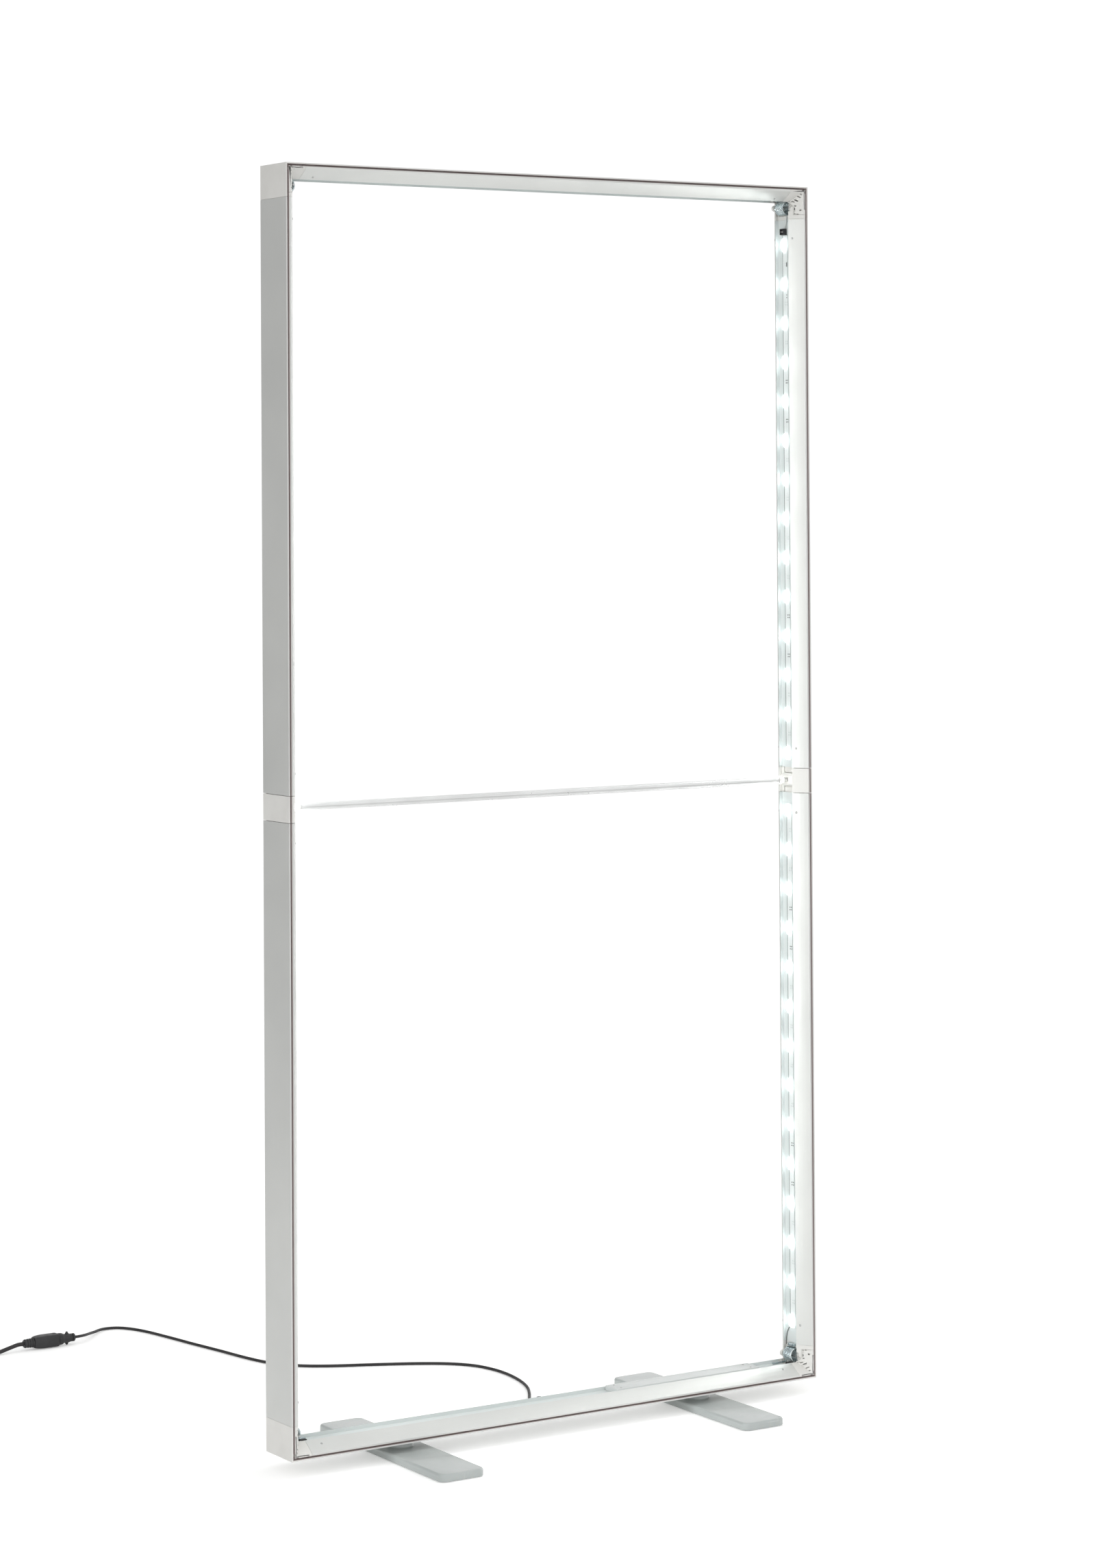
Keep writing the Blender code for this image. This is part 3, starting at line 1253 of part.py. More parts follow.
def main():
    clear_scene()
    levels = (("lower", "bottom", -1), ("upper", "top", 1))
    sides = (("left", -1), ("right", 1))
    middle_joint = joint_empty("middle_frame_slide", (0, 0, MIDDLE))
    upper_joint = joint_empty("upper_frame_slide", (0, 0, FRAME_TOP))
    plunger_joint = joint_empty("plunger_slide", (TUBE_END, 0, MIDDLE))
    carriers = {-1: None, 1: upper_joint}

    drill_bottom_rail(make_rail("bottom_rail", -1, None))
    make_rail("top_rail", 1, upper_joint)
    for level_name, rail_name, level in levels:
        carrier = carriers[level]
        for side_name, side in sides:
            corner = rail_name + "_" + side_name
            arm = level_name + "_" + side_name
            hinge = joint_empty(arm + "_hinge", corner_point(side, level, HINGE_A, HINGE_B, 0))
            make_corner(corner + "_corner", side, level, carrier)
            make_hinge_pin(corner + "_hinge_pin", side, level, carrier)
            make_corner_spring(corner + "_spring", side, level, carrier)
            make_upright(arm + "_upright", side, level, hinge)
            make_hinge_end(arm + "_hinge_end", side, level, hinge)
            make_arm_tip(arm + "_arm_tip", side, level, hinge)
            make_light_strip(arm, side, level, hinge)
            if level > 0:
                make_strip_connector(arm, side, hinge)
    for side_name, side in sides:
        make_connector("middle_" + side_name + "_connector", side, middle_joint)
    make_cross_bar(middle_joint, plunger_joint)
    make_driver()
    for side_name, side in sides:
        swivel = joint_empty(side_name + "_foot_swivel", (side * FOOT_X, 0, FOOT_TOP))
        make_foot(side_name + "_foot", side * FOOT_X, swivel)
        for end_name, end in (("front", -1), ("back", 1)):
            make_foot_pad(side_name + "_foot_" + end_name + "_pad", side * FOOT_X, end, swivel)
        make_foot_bolt(side_name + "_foot_bolt", side * FOOT_X)
    make_grommet()
    make_frame_lead()
    make_mains_lead(make_inline_connector())
    make_mains_plug()
    print("pieces", len(made))


main()
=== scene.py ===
# A folding light-box frame on two swivelling feet, dressed for a plain studio picture.
# Metres, Z up, the front faces -Y and the floor is at zero.
# Near a corner a place is (a, b, v): a in from the side face, b in from the top or
# bottom face, v along Y from the middle of the depth.
import math
from types import SimpleNamespace

import bmesh
import bpy
from mathutils import Matrix, Vector


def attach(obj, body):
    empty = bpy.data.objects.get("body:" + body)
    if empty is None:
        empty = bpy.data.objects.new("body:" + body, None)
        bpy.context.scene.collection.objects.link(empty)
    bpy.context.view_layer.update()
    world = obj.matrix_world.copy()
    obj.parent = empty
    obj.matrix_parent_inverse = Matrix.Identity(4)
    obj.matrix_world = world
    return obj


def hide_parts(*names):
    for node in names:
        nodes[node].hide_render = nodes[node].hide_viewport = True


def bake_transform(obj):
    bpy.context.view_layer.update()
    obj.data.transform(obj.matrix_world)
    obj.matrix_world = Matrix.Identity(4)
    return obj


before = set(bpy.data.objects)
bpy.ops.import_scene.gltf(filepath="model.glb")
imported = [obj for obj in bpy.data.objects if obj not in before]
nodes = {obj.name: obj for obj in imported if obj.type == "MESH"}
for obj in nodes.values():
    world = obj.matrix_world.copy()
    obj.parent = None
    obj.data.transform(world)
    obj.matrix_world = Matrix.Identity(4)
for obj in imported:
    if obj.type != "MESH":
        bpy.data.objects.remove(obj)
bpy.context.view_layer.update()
print("loaded the frame with", len(nodes), "parts")

section = {  # section of the bars, measured inwards from the outer face
    "halfWidth": 0.500, "bottom": 0.025, "top": 2.025, "middle": 1.025,
    "floor": 0.018, "bar": 0.024, "cheekStart": 0.0082, "halfDepth": 0.042, "halfChannel": 0.018,
    "grooveMiddle": 0.0037, "grooveHalf": 0.0017, "grooveBack": 0.0318, "gap": 0.0003,
}
sides = (("left", -1), ("right", 1))
levels = (("lower", "bottom", -1, "base"), ("upper", "top", 1, "upper_frame"))
corners = [SimpleNamespace(
    side=side, level=level, carrier=carrier, rail=railLevel, arm=armLevel + "_" + sideName + "_arm",
    post=armLevel + sideName.capitalize(), postNode=armLevel + "_" + sideName,
    block=railLevel + sideName.capitalize(), blockNode=railLevel + "_" + sideName)
    for armLevel, railLevel, level, carrier in levels for sideName, side in sides]


def cornerPoint(side, level, a, b, v):
    z = section["bottom"] + b if level < 0 else section["top"] - b
    return Vector((side * (section["halfWidth"] - a), v, z))


def cheekDepth(u):
    run = (u - section["cheekStart"]) / (section["bar"] - section["cheekStart"])
    return section["halfDepth"] + (section["halfChannel"] - section["halfDepth"]) * run


def addObject(name, data):
    piece = bpy.data.objects.new(name, data)
    bpy.context.scene.collection.objects.link(piece)
    return piece


def smoothStep(t):
    t = min(max(t, 0.0), 1.0)
    return t * t * (3 - 2 * t)


# The camera stands where the picture was taken from
cameraPlace = {
    "spot": (-3.2833, -5.1628, 1.5032), "turn": -32.6084, "pitch": 1.0762, "roll": -0.3521,
    "lens": 86.516, "shiftY": -0.2276,
}


def placeCamera(place):
    data = bpy.data.cameras.new("pictureCamera")
    camera = addObject("pictureCamera", data)
    turn, pitch, roll = (math.radians(place[key]) for key in ("turn", "pitch", "roll"))
    ahead = Vector((-math.sin(turn) * math.cos(pitch), math.cos(turn) * math.cos(pitch), math.sin(pitch)))
    right = Vector((math.cos(turn), math.sin(turn), 0))
    up = right.cross(ahead)
    across = right * math.cos(roll) + up * math.sin(roll)
    upwards = up * math.cos(roll) - right * math.sin(roll)
    camera.matrix_world = Matrix((
        (across.x, upwards.x, -ahead.x, place["spot"][0]),
        (across.y, upwards.y, -ahead.y, place["spot"][1]),
        (across.z, upwards.z, -ahead.z, place["spot"][2]),
        (0, 0, 0, 1)))
    data.lens = place["lens"]
    data.shift_y = place["shiftY"]
    data.clip_end = 60
    bpy.context.scene.camera = camera


placeCamera(cameraPlace)


def feed(tree, socket, value):
    if isinstance(value, bpy.types.NodeSocket):
        tree.links.new(value, socket)
    elif value is not None:
        socket.default_value = value


def calc(tree, operation, *values, clamp=False):
    node = tree.nodes.new("ShaderNodeMath")
    node.operation = operation
    node.use_clamp = clamp
    for socket, value in zip(node.inputs, values):
        feed(tree, socket, value)
    return node.outputs[0]


def times(tree, first, *others):
    for other in others:
        first = calc(tree, 'MULTIPLY', first, other)
    return first


def minus(tree, first, second):
    return calc(tree, 'SUBTRACT', first, second)


def spread(tree, value, low, high, outLow, outHigh):
    node = tree.nodes.new("ShaderNodeMapRange")
    node.interpolation_type = 'SMOOTHSTEP'
    for socket, given in zip(node.inputs, (value, low, high, outLow, outHigh)):
        feed(tree, socket, given)
    return node.outputs[0]


def blendColour(tree, factor, first, second):
    node = tree.nodes.new("ShaderNodeMix")
    node.data_type = 'RGBA'
    feed(tree, node.inputs[0], factor)
    feed(tree, node.inputs[6], first)
    feed(tree, node.inputs[7], second)
    return node.outputs[2]


def noise(tree, place, scale, detail=2.0, rough=0.5, stretch=None):
    if stretch:
        mapping = tree.nodes.new("ShaderNodeMapping")
        feed(tree, mapping.inputs["Vector"], place)
        mapping.inputs["Scale"].default_value = stretch
        place = mapping.outputs[0]
    node = tree.nodes.new("ShaderNodeTexNoise")
    feed(tree, node.inputs["Vector"], place)
    feed(tree, node.inputs["Scale"], scale)
    node.inputs["Detail"].default_value = detail
    node.inputs["Roughness"].default_value = rough
    return node.outputs[0]


def objectPlace(tree):
    return tree.nodes.new("ShaderNodeTexCoord").outputs["Object"]


def axes(tree, vector):
    parts = tree.nodes.new("ShaderNodeSeparateXYZ")
    feed(tree, parts.inputs[0], vector)
    return parts.outputs


def fromEnds(tree, z):
    # distance in from the nearer of the bottom and top faces
    return calc(tree, 'MINIMUM', minus(tree, z, section["bottom"]), minus(tree, section["top"], z))


def addBump(tree, shader, height, strength, distance):
    bump = tree.nodes.new("ShaderNodeBump")
    bump.inputs["Strength"].default_value = strength
    bump.inputs["Distance"].default_value = distance
    feed(tree, bump.inputs["Height"], height)
    feed(tree, shader.inputs["Normal"], bump.outputs[0])


def startGroup(name, inputs, outputs):
    group = bpy.data.node_groups.new(name, 'ShaderNodeTree')
    for label, value in inputs:
        socket = group.interface.new_socket(label, in_out='INPUT', socket_type='NodeSocketFloat')
        socket.default_value = value
    for label in outputs:
        group.interface.new_socket(label, in_out='OUTPUT', socket_type='NodeSocketFloat')
    return group, group.nodes.new("NodeGroupInput").outputs, group.nodes.new("NodeGroupOutput").inputs


def makeSectionGroup():
    # where a point lies in the bars' section: in the groove, or on an edge
    group, given, result = startGroup("barSection", [("Edge Width", 0.0012)], ["Groove", "Edge", "Inside"])
    x, y, z = axes(group, objectPlace(group))
    a = minus(group, section["halfWidth"], calc(group, 'ABSOLUTE', x))
    u = calc(group, 'MINIMUM', a, fromEnds(group, z))
    v = calc(group, 'ABSOLUTE', y)
    inBand = calc(group, 'COMPARE', u, section["grooveMiddle"], section["grooveHalf"])
    feed(group, result["Groove"], times(group, inBand, calc(group, 'GREATER_THAN', v, section["grooveBack"])))
    edge = None
    for cornerU, cornerV in ((0, section["halfDepth"]), (section["cheekStart"], section["halfDepth"]),
                             (section["bar"], section["halfChannel"])):
        far = calc(group, 'MAXIMUM', calc(group, 'ABSOLUTE', minus(group, u, cornerU)),
                   calc(group, 'ABSOLUTE', minus(group, v, cornerV)))
        near = spread(group, far, 0.0, given[0], 1.0, 0.0)
        edge = near if edge is None else calc(group, 'MAXIMUM', edge, near)
    feed(group, result["Edge"], edge)
    between = calc(group, 'LESS_THAN', v, section["halfChannel"] + 0.0004)
    feed(group, result["Inside"], times(group, between, calc(group, 'GREATER_THAN', u, 0.010)))
    return group


def makeGrainGroup():
    # fine orange peel of paint or moulded skin, with a broad change of tone
    group, given, result = startGroup("surfaceGrain", [("Scale", 900.0), ("Broad Scale", 5.0)],
                                      ["Height", "Tone", "Sheen"])
    place = objectPlace(group)
    fine = noise(group, place, given[0], 3.0, 0.6)
    peel = noise(group, place, times(group, given[0], 0.28), 1.0, 0.5)
    feed(group, result["Height"], calc(group, 'ADD', times(group, fine, 0.5), peel))
    broad = noise(group, place, given[1], 3.0, 0.55)
    feed(group, result["Tone"], spread(group, broad, 0.35, 0.65, 0.0, 1.0))
    feed(group, result["Sheen"], noise(group, place, times(group, given[1], 3.7), 4.0, 0.6))
    return group


def makeDustGroup():
    # dust that settles on faces that look up, thin and patchy
    group, given, result = startGroup("settledDust", [("Amount", 0.25), ("Scale", 30.0)], ["Mask"])
    facing = axes(group, group.nodes.new("ShaderNodeTexCoord").outputs["Normal"])
    upward = spread(group, facing[2], 0.3, 0.95, 0.0, 1.0)
    patches = spread(group, noise(group, objectPlace(group), given[1], 5.0, 0.7), 0.42, 0.72, 0.15, 1.0)
    feed(group, result["Mask"], times(group, upward, patches, given[0]))
    return group


lensRows = {"lower": 0.0891, "upper": 0.0962, "pitch": 0.0661, "last": 13.45}  # first lens from each corner


def makeHaloGroup():
    # glare on the board and in the channel round each lens
    group, given, result = startGroup("lensHalo", [("Reach", 0.0155), ("Core", 0.0030)], ["Halo"])
    x, y, z = axes(group, objectPlace(group))
    upper = calc(group, 'GREATER_THAN', z, section["middle"])
    first = calc(group, 'ADD', times(group, upper, lensRows["upper"] - lensRows["lower"]), lensRows["lower"])
    step = calc(group, 'DIVIDE', minus(group, fromEnds(group, z), first), lensRows["pitch"])
    along = times(group, minus(group, step, calc(group, 'ROUND', step)), lensRows["pitch"])
    across = times(group, minus(group, y, 0.001), 0.62)
    far = calc(group, 'SQRT', calc(group, 'ADD', times(group, along, along),
                                   times(group, across, across)))
    inRow = times(group, calc(group, 'GREATER_THAN', step, -0.45),
                 calc(group, 'LESS_THAN', step, lensRows["last"]))
    feed(group, result["Halo"], times(group, inRow, spread(group, far, given[1], given[0], 1.0, 0.0)))
    return group


def makeScuffGroup():
    # short handling marks and hairlines that run along Z and along X
    group, given, result = startGroup("handlingMarks", [("Amount", 0.3), ("Density", 0.62)], ["Mask", "Height"])
    place = objectPlace(group)
    upright = noise(group, place, 60.0, 2.0, 0.6, (6.0, 6.0, 0.35))
    level = noise(group, place, 60.0, 2.0, 0.6, (0.35, 6.0, 6.0))
    hair = calc(group, 'MAXIMUM', upright, level)
    patch = spread(group, noise(group, place, 9.0, 2.0), 0.5, 0.66, 0.0, 1.0)
    lines = spread(group, hair, given[1], calc(group, 'ADD', given[1], 0.07), 0.0, 1.0)
    marks = times(group, lines, patch)
    feed(group, result["Mask"], times(group, marks, given[0]))
    feed(group, result["Height"], times(group, marks, -1.0))
    return group


barSection = makeSectionGroup()
surfaceGrain = makeGrainGroup()
settledDust = makeDustGroup()
handlingMarks = makeScuffGroup()
lensHalo = makeHaloGroup()


def useGroup(tree, group, **values):
    node = tree.nodes.new("ShaderNodeGroup")
    node.node_tree = group
    for label, value in values.items():
        feed(tree, node.inputs[label.replace("_", " ")], value)
    return node.outputs


def startMaterial(name, metallic=0.0):
    material = bpy.data.materials.new(name)
    material.use_nodes = True
    tree = material.node_tree
    shader = tree.nodes["Principled BSDF"]
    shader.inputs["Metallic"].default_value = metallic
    return material, tree, shader


def colour(r, g, b):
    return (r, g, b, 1.0)


def addGlare(tree, shader, amount, tint):
    feed(tree, shader.inputs["Emission Color"], blendColour(tree, amount, colour(0, 0, 0), tint))
    shader.inputs["Emission Strength"].default_value = 1.0


def makeFinish(name, look):
    material, tree, shader = startMaterial(name, look.get("metallic", 0.0))
    grain = useGroup(tree, surfaceGrain, Scale=look["grain"], Broad_Scale=look["broad"])
    base = blendColour(tree, grain["Tone"], colour(*look["dark"]), colour(*look["light"]))
    marks = useGroup(tree, handlingMarks, Amount=look["marks"])
    base = blendColour(tree, marks["Mask"], base, colour(*look.get("markColour", (0.9, 0.9, 0.9))))
    rough = spread(tree, grain["Sheen"], 0.3, 0.7, *look["rough"])
    if "groove" in look:
        bars = useGroup(tree, barSection, Edge_Width=0.0010)
        # lighter in patches along the section's edges: worn paint, and a painted highlight on the lips
        wornAndLitEdge = times(tree, bars["Edge"], grain["Sheen"], look["edgeWearAndSheen"])
        base = blendColour(tree, wornAndLitEdge, base, colour(0.9, 0.9, 0.9))
        bare = minus(tree, 1.0, bars["Groove"])
        if "channel" in look:  # the milled channel is bare metal and so duller; its greener colour is a painted tint of the strips' cold light
            base = blendColour(tree, bars["Inside"], base, colour(*look["channel"]))
            bare = times(tree, bare, minus(tree, 1.0, bars["Inside"]))
        # painted shade: the inside of the deep groove is coloured darker and warmer than the faces round it
        base = blendColour(tree, bars["Groove"], base, colour(*look["groove"]))
        rough = calc(tree, 'MAXIMUM', rough, times(tree, bars["Groove"], 0.75))
        if "channel" in look:
            halo = useGroup(tree, lensHalo)["Halo"]
            feed(tree, shader.inputs["Metallic"], times(tree, bare, look["metallic"]))
            addGlare(tree, shader, times(tree, halo, bars["Inside"]), colour(0.16, 0.20, 0.20))
    dust = useGroup(tree, settledDust, Amount=look["dust"], Scale=look.get("dustScale", 30.0))
    base = blendColour(tree, dust["Mask"], base, colour(*look.get("dustColour", (0.82, 0.80, 0.76))))
    rough = calc(tree, 'ADD', rough, times(tree, dust["Mask"], 0.5), clamp=True)
    height = calc(tree, 'ADD', grain["Height"], times(tree, marks["Height"], 0.4))
    addBump(tree, shader, height, look["bump"], 0.00012)
    feed(tree, shader.inputs["Base Color"], base)
    feed(tree, shader.inputs["Roughness"], rough)
    if "coat" in look:
        shader.inputs["Coat Weight"].default_value = look["coat"]
        shader.inputs["Coat Roughness"].default_value = look["coatRough"]
    return material


finishes = {
    "silverPaint": {"dark": (0.690, 0.699, 0.680), "light": (0.735, 0.743, 0.722), "rough": (0.38, 0.50),
                    "grain": 1400.0, "broad": 3.0, "marks": 0.10, "bump": 0.22, "groove": (0.600, 0.535, 0.525),
                    "edgeWearAndSheen": 0.55, "dust": 0.08, "metallic": 0.55, "channel": (0.690, 0.730, 0.722)},
    "mouldedGrey": {"dark": (0.735, 0.728, 0.698), "light": (0.780, 0.774, 0.745), "rough": (0.42, 0.58),
                    "grain": 2200.0, "broad": 14.0, "marks": 0.16, "bump": 0.35, "groove": (0.58, 0.52, 0.51),
                    "edgeWearAndSheen": 0.45, "dust": 0.12, "dustScale": 60.0},
    "zincSpring": {"dark": (0.44, 0.51, 0.53), "light": (0.74, 0.82, 0.83), "rough": (0.16, 0.30),
                   "grain": 1800.0, "broad": 60.0, "marks": 0.25, "bump": 0.3, "metallic": 0.95, "dust": 0.03},
    "plainSteel": {"dark": (0.50, 0.50, 0.50), "light": (0.63, 0.63, 0.62), "rough": (0.24, 0.40),
                   "grain": 1500.0, "broad": 80.0, "marks": 0.3, "bump": 0.3, "metallic": 1.0, "dust": 0.06},
    "satinTube": {"dark": (0.72, 0.725, 0.72), "light": (0.79, 0.795, 0.79), "rough": (0.26, 0.38),
                  "grain": 1500.0, "broad": 8.0, "marks": 0.2, "bump": 0.2, "metallic": 0.55, "dust": 0.08},
    "caseWhite": {"dark": (0.590, 0.612, 0.605), "light": (0.640, 0.662, 0.655), "rough": (0.34, 0.46),
                  "grain": 1800.0, "broad": 10.0, "marks": 0.12, "bump": 0.25, "dust": 0.12, "dustScale": 50.0},
    "footPaint": {"dark": (0.435, 0.470, 0.462), "light": (0.475, 0.510, 0.500), "rough": (0.30, 0.42),
                  "grain": 1100.0, "broad": 7.0, "marks": 0.16, "bump": 0.28, "dust": 0.10,
                  "coat": 0.7, "coatRough": 0.10},
    "blackPlastic": {"dark": (0.014, 0.014, 0.015), "light": (0.026, 0.026, 0.028), "rough": (0.30, 0.48),
                     "grain": 2400.0, "broad": 30.0, "marks": 0.10, "markColour": (0.16, 0.16, 0.16),
                     "bump": 0.4, "dust": 0.05, "dustColour": (0.30, 0.29, 0.28)},
    "blackRubber": {"dark": (0.012, 0.012, 0.012), "light": (0.024, 0.023, 0.022), "rough": (0.62, 0.80),
                    "grain": 1600.0, "broad": 25.0, "marks": 0.05, "bump": 0.5, "dust": 0.08,
                    "dustColour": (0.25, 0.24, 0.23)},
    "leadSheath": {"dark": (0.012, 0.011, 0.012), "light": (0.022, 0.020, 0.021), "rough": (0.42, 0.58),
                   "grain": 1500.0, "broad": 18.0, "marks": 0.08, "markColour": (0.12, 0.12, 0.12),
                   "bump": 0.3, "dust": 0.06, "dustColour": (0.30, 0.29, 0.28)},
}
made = {name: makeFinish(name, look) for name, look in finishes.items()}

lensLook = {"core": (1.0, 1.0, 1.0), "rim": (0.78, 0.97, 1.0), "strength": 9.0}
# the dark colour is that of the small dark parts, and of the painted shade in the board's seam
boardLook = {
    "white": (0.80, 0.84, 0.83), "plate": (0.650, 0.705, 0.690), "copper": (0.62, 0.68, 0.66),
    "dark": (0.05, 0.055, 0.055), "glare": 0.45,
}


def makeLensMaterial(look):
    # a clear-topped moulding that glows white in the middle and cold at its rim
    material, tree, shader = startMaterial("lensGlow")
    normal = tree.nodes.new("ShaderNodeTexCoord").outputs["Normal"]
    facing = calc(tree, 'ABSOLUTE', axes(tree, normal)[0])
    core = spread(tree, facing, 0.12, 0.75, 0.0, 1.0)
    ripple = noise(tree, objectPlace(tree), 900.0, 1.0)
    glow = blendColour(tree, core, colour(*look["rim"]), colour(*look["core"]))
    tint = blendColour(tree, times(tree, ripple, 0.25), glow, colour(0.9, 1.0, 1.0))
    feed(tree, shader.inputs["Base Color"], tint)
    feed(tree, shader.inputs["Emission Color"], blendColour(tree, core, colour(0.50, 0.66, 0.68), tint))
    shader.inputs["Emission Strength"].default_value = look["strength"]
    feed(tree, shader.inputs["Roughness"], spread(tree, ripple, 0.3, 0.7, 0.08, 0.2))
    return material


def makeBoardMaterial(name, look, base, sheen):
    # printed board: solder resist with faint copper runs showing through
    material, tree, shader = startMaterial(name)
    place = objectPlace(tree)
    grain = useGroup(tree, surfaceGrain, Scale=2600.0, Broad_Scale=22.0)
    run = noise(tree, place, 46.0, 1.0, 0.4, (1.0, 9.0, 0.25))
    copper = spread(tree, run, 0.54, 0.56, 0.0, 0.22)
    tone = blendColour(tree, grain["Tone"], colour(*base), colour(*(min(1.0, c * 1.05) for c in base)))
    tone = blendColour(tree, copper, tone, colour(*look["copper"]))
    marks = useGroup(tree, handlingMarks, Amount=0.12)
    tone = blendColour(tree, marks["Mask"], tone, colour(0.95, 0.95, 0.95))
    addBump(tree, shader, calc(tree, 'ADD', grain["Height"], times(tree, copper, 4.0)), 0.3, 0.00008)
    feed(tree, shader.inputs["Base Color"], tone)
    halo = useGroup(tree, lensHalo)["Halo"]
    addGlare(tree, shader, times(tree, halo, look["glare"]), colour(0.92, 1.0, 1.0))
    feed(tree, shader.inputs["Roughness"], spread(tree, grain["Sheen"], 0.3, 0.7, *sheen))
    return material


made["lensGlow"] = makeLensMaterial(lensLook)
for name, key, sheen in (("boardWhite", "white", (0.34, 0.46)), ("boardPlate", "plate", (0.28, 0.42)),
                         ("boardLine", "dark", (0.5, 0.6))):
    made[name] = makeBoardMaterial(name, boardLook, boardLook[key], sheen)
print("materials ready:", len(made))


def selectNothing():
    if bpy.context.mode != 'OBJECT':
        bpy.ops.object.mode_set(mode='OBJECT')
    bpy.ops.object.select_all(action='DESELECT')


def workOn(piece):
    selectNothing()
    bpy.context.view_layer.objects.active = piece
    piece.select_set(True)


def openMesh(piece):
    workOn(piece)
    bpy.ops.object.mode_set(mode='EDIT')
    bpy.ops.mesh.select_mode(type='FACE')


def pick(piece, kind, rule):
    # select the faces, edges or points of the open mesh that the rule accepts
    bpy.ops.mesh.select_mode(type=kind)
    bpy.ops.mesh.select_all(action='DESELECT')
    mesh = bmesh.from_edit_mesh(piece.data)
    for part in {'FACE': mesh.faces, 'EDGE': mesh.edges, 'VERT': mesh.verts}[kind]:
        if rule(part):
            part.select_set(True)
    bmesh.update_edit_mesh(piece.data)


def pickAll():
    bpy.ops.mesh.select_all(action='SELECT')


def pushOut(x, y, z):
    bpy.ops.mesh.extrude_region_move(TRANSFORM_OT_translate={"value": (x, y, z)})


def closeMesh():
    pickAll()
    bpy.ops.mesh.remove_doubles(threshold=0.000005)
    bpy.ops.mesh.normals_make_consistent(inside=False)
    bpy.ops.object.mode_set(mode='OBJECT')


def cleanMesh(piece):
    openMesh(piece)
    closeMesh()
    return piece


def bakePlace():
    bpy.ops.object.transform_apply(location=True, rotation=True, scale=True)


def applyLast(piece, modifier):
    workOn(piece)
    bpy.ops.object.modifier_apply(modifier=modifier.name)
    return piece


def namePiece(piece, name, finish):
    piece.name = name
    piece.data.name = name
    piece.data.materials.clear()
    piece.data.materials.append(made[finish])
    return piece


def smoothPiece(piece, degrees=35):
    workOn(piece)
    bpy.ops.object.shade_smooth_by_angle(angle=math.radians(degrees))
    return piece


def putAt(piece, matrix):
    # move a finished piece to its place and bake the place into its mesh
    workOn(piece)
    piece.matrix_world = matrix @ piece.matrix_world
    bakePlace()
    return piece


def copyPiece(piece, name, matrix):
    twin = addObject(name, piece.data.copy())
    twin.data.name = name
    return putAt(twin, matrix)


def joinPieces(name, parts):
    selectNothing()
    for part in parts:
        part.select_set(True)
    bpy.context.view_layer.objects.active = parts[0]
    bpy.ops.object.join()
    parts[0].name = parts[0].data.name = name
    return parts[0]


def bevelPiece(piece, width, segments=2, degrees=30):
    edge = piece.modifiers.new("roundedEdges", 'BEVEL')
    edge.width, edge.segments, edge.limit_method = width, segments, 'ANGLE'
    edge.angle_limit = math.radians(degrees)
    return applyLast(piece, edge)


def blockPiece(name, finish, low, high, bevel=0.0, segments=2):
    selectNothing()
    middle = [(p + q) / 2 for p, q in zip(low, high)]
    size = [abs(q - p) for p, q in zip(low, high)]
    bpy.ops.mesh.primitive_cube_add(size=1, location=middle, scale=size)
    piece = namePiece(bpy.context.object, name, finish)
    bakePlace()
    return bevelPiece(piece, bevel, segments) if bevel else piece


def turnPiece(name, finish, steps, count=32):
    # steps are (height, radius) up the Z axis; each is one extrusion of the end face
    selectNothing()
    height, radius = steps[0]
    bpy.ops.mesh.primitive_circle_add(vertices=count, radius=radius, fill_type='NGON', location=(0, 0, height))
    piece = namePiece(bpy.context.object, name, finish)
    bakePlace()
    bpy.ops.object.mode_set(mode='EDIT')
    bpy.ops.mesh.select_mode(type='FACE')
    pickAll()
    for nextHeight, nextRadius in steps[1:]:
        pushOut(0, 0, nextHeight - height)
        share = nextRadius / radius
        bpy.ops.transform.resize(value=(share, share, 1), center_override=(0, 0, nextHeight))
        height, radius = nextHeight, nextRadius
    closeMesh()
    return smoothPiece(piece)


def alongAxis(spot, way, roll=0.0):
    # turns a piece made about Z so that it points along way from spot
    turn = Vector(way).to_track_quat('Z', 'Y').to_matrix().to_4x4()
    return Matrix.Translation(Vector(spot)) @ turn @ Matrix.Rotation(roll, 4, 'Z')


def settle(piece, body, *replaced):
    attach(piece, body)
    if replaced:
        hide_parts(*replaced)
    return piece


# Leads first: the frame's own lead, and the mains lead with its coil
frameLead = {
    "radius": 0.0025, "length": 1.35, "exit": (0.0150, 0.0438, 0.0345), "floorHeight": 0.0028,
    "route": (
        (0.0150, 0.0441, 0.0345), (0.0150, 0.0560, 0.0345), (0.0190, 0.0800, 0.0285),
        (0.0275, 0.1000, 0.0215), (0.0400, 0.1250, 0.0130), (0.0540, 0.1500, 0.0060),
        (0.0710, 0.1810, 0.0028), (0.0890, 0.2100, 0.0028), (0.1070, 0.2430, 0.0028),
        (0.1200, 0.2770, 0.0028), (0.1290, 0.3150, 0.0028), (0.1335, 0.3580, 0.0028),
        (0.1310, 0.3970, 0.0028), (0.1190, 0.4370, 0.0028), (0.0900, 0.4740, 0.0028),
        (0.0420, 0.5080, 0.0028), (-0.0240, 0.5430, 0.0028), (-0.0920, 0.5770, 0.0028),
        (-0.1350, 0.6100, 0.0028), (-0.1650, 0.6570, 0.0028), (-0.1800, 0.7100, 0.0028),
        (-0.1930, 0.7850, 0.0028), (-0.2080, 0.8640, 0.0028), (-0.2210, 0.9400, 0.0028),
        (-0.2370, 1.0120, 0.0028), (-0.2600, 1.0530, 0.0028), (-0.2880, 1.0585, 0.0034),
        (-0.3174, 1.0350, 0.0060), (-0.3395, 1.0116, 0.0098), (-0.3560, 0.9965, 0.0119),
        (-0.3700, 0.9920, 0.0122), (-0.3776, 0.9920, 0.0122),
    ),
}
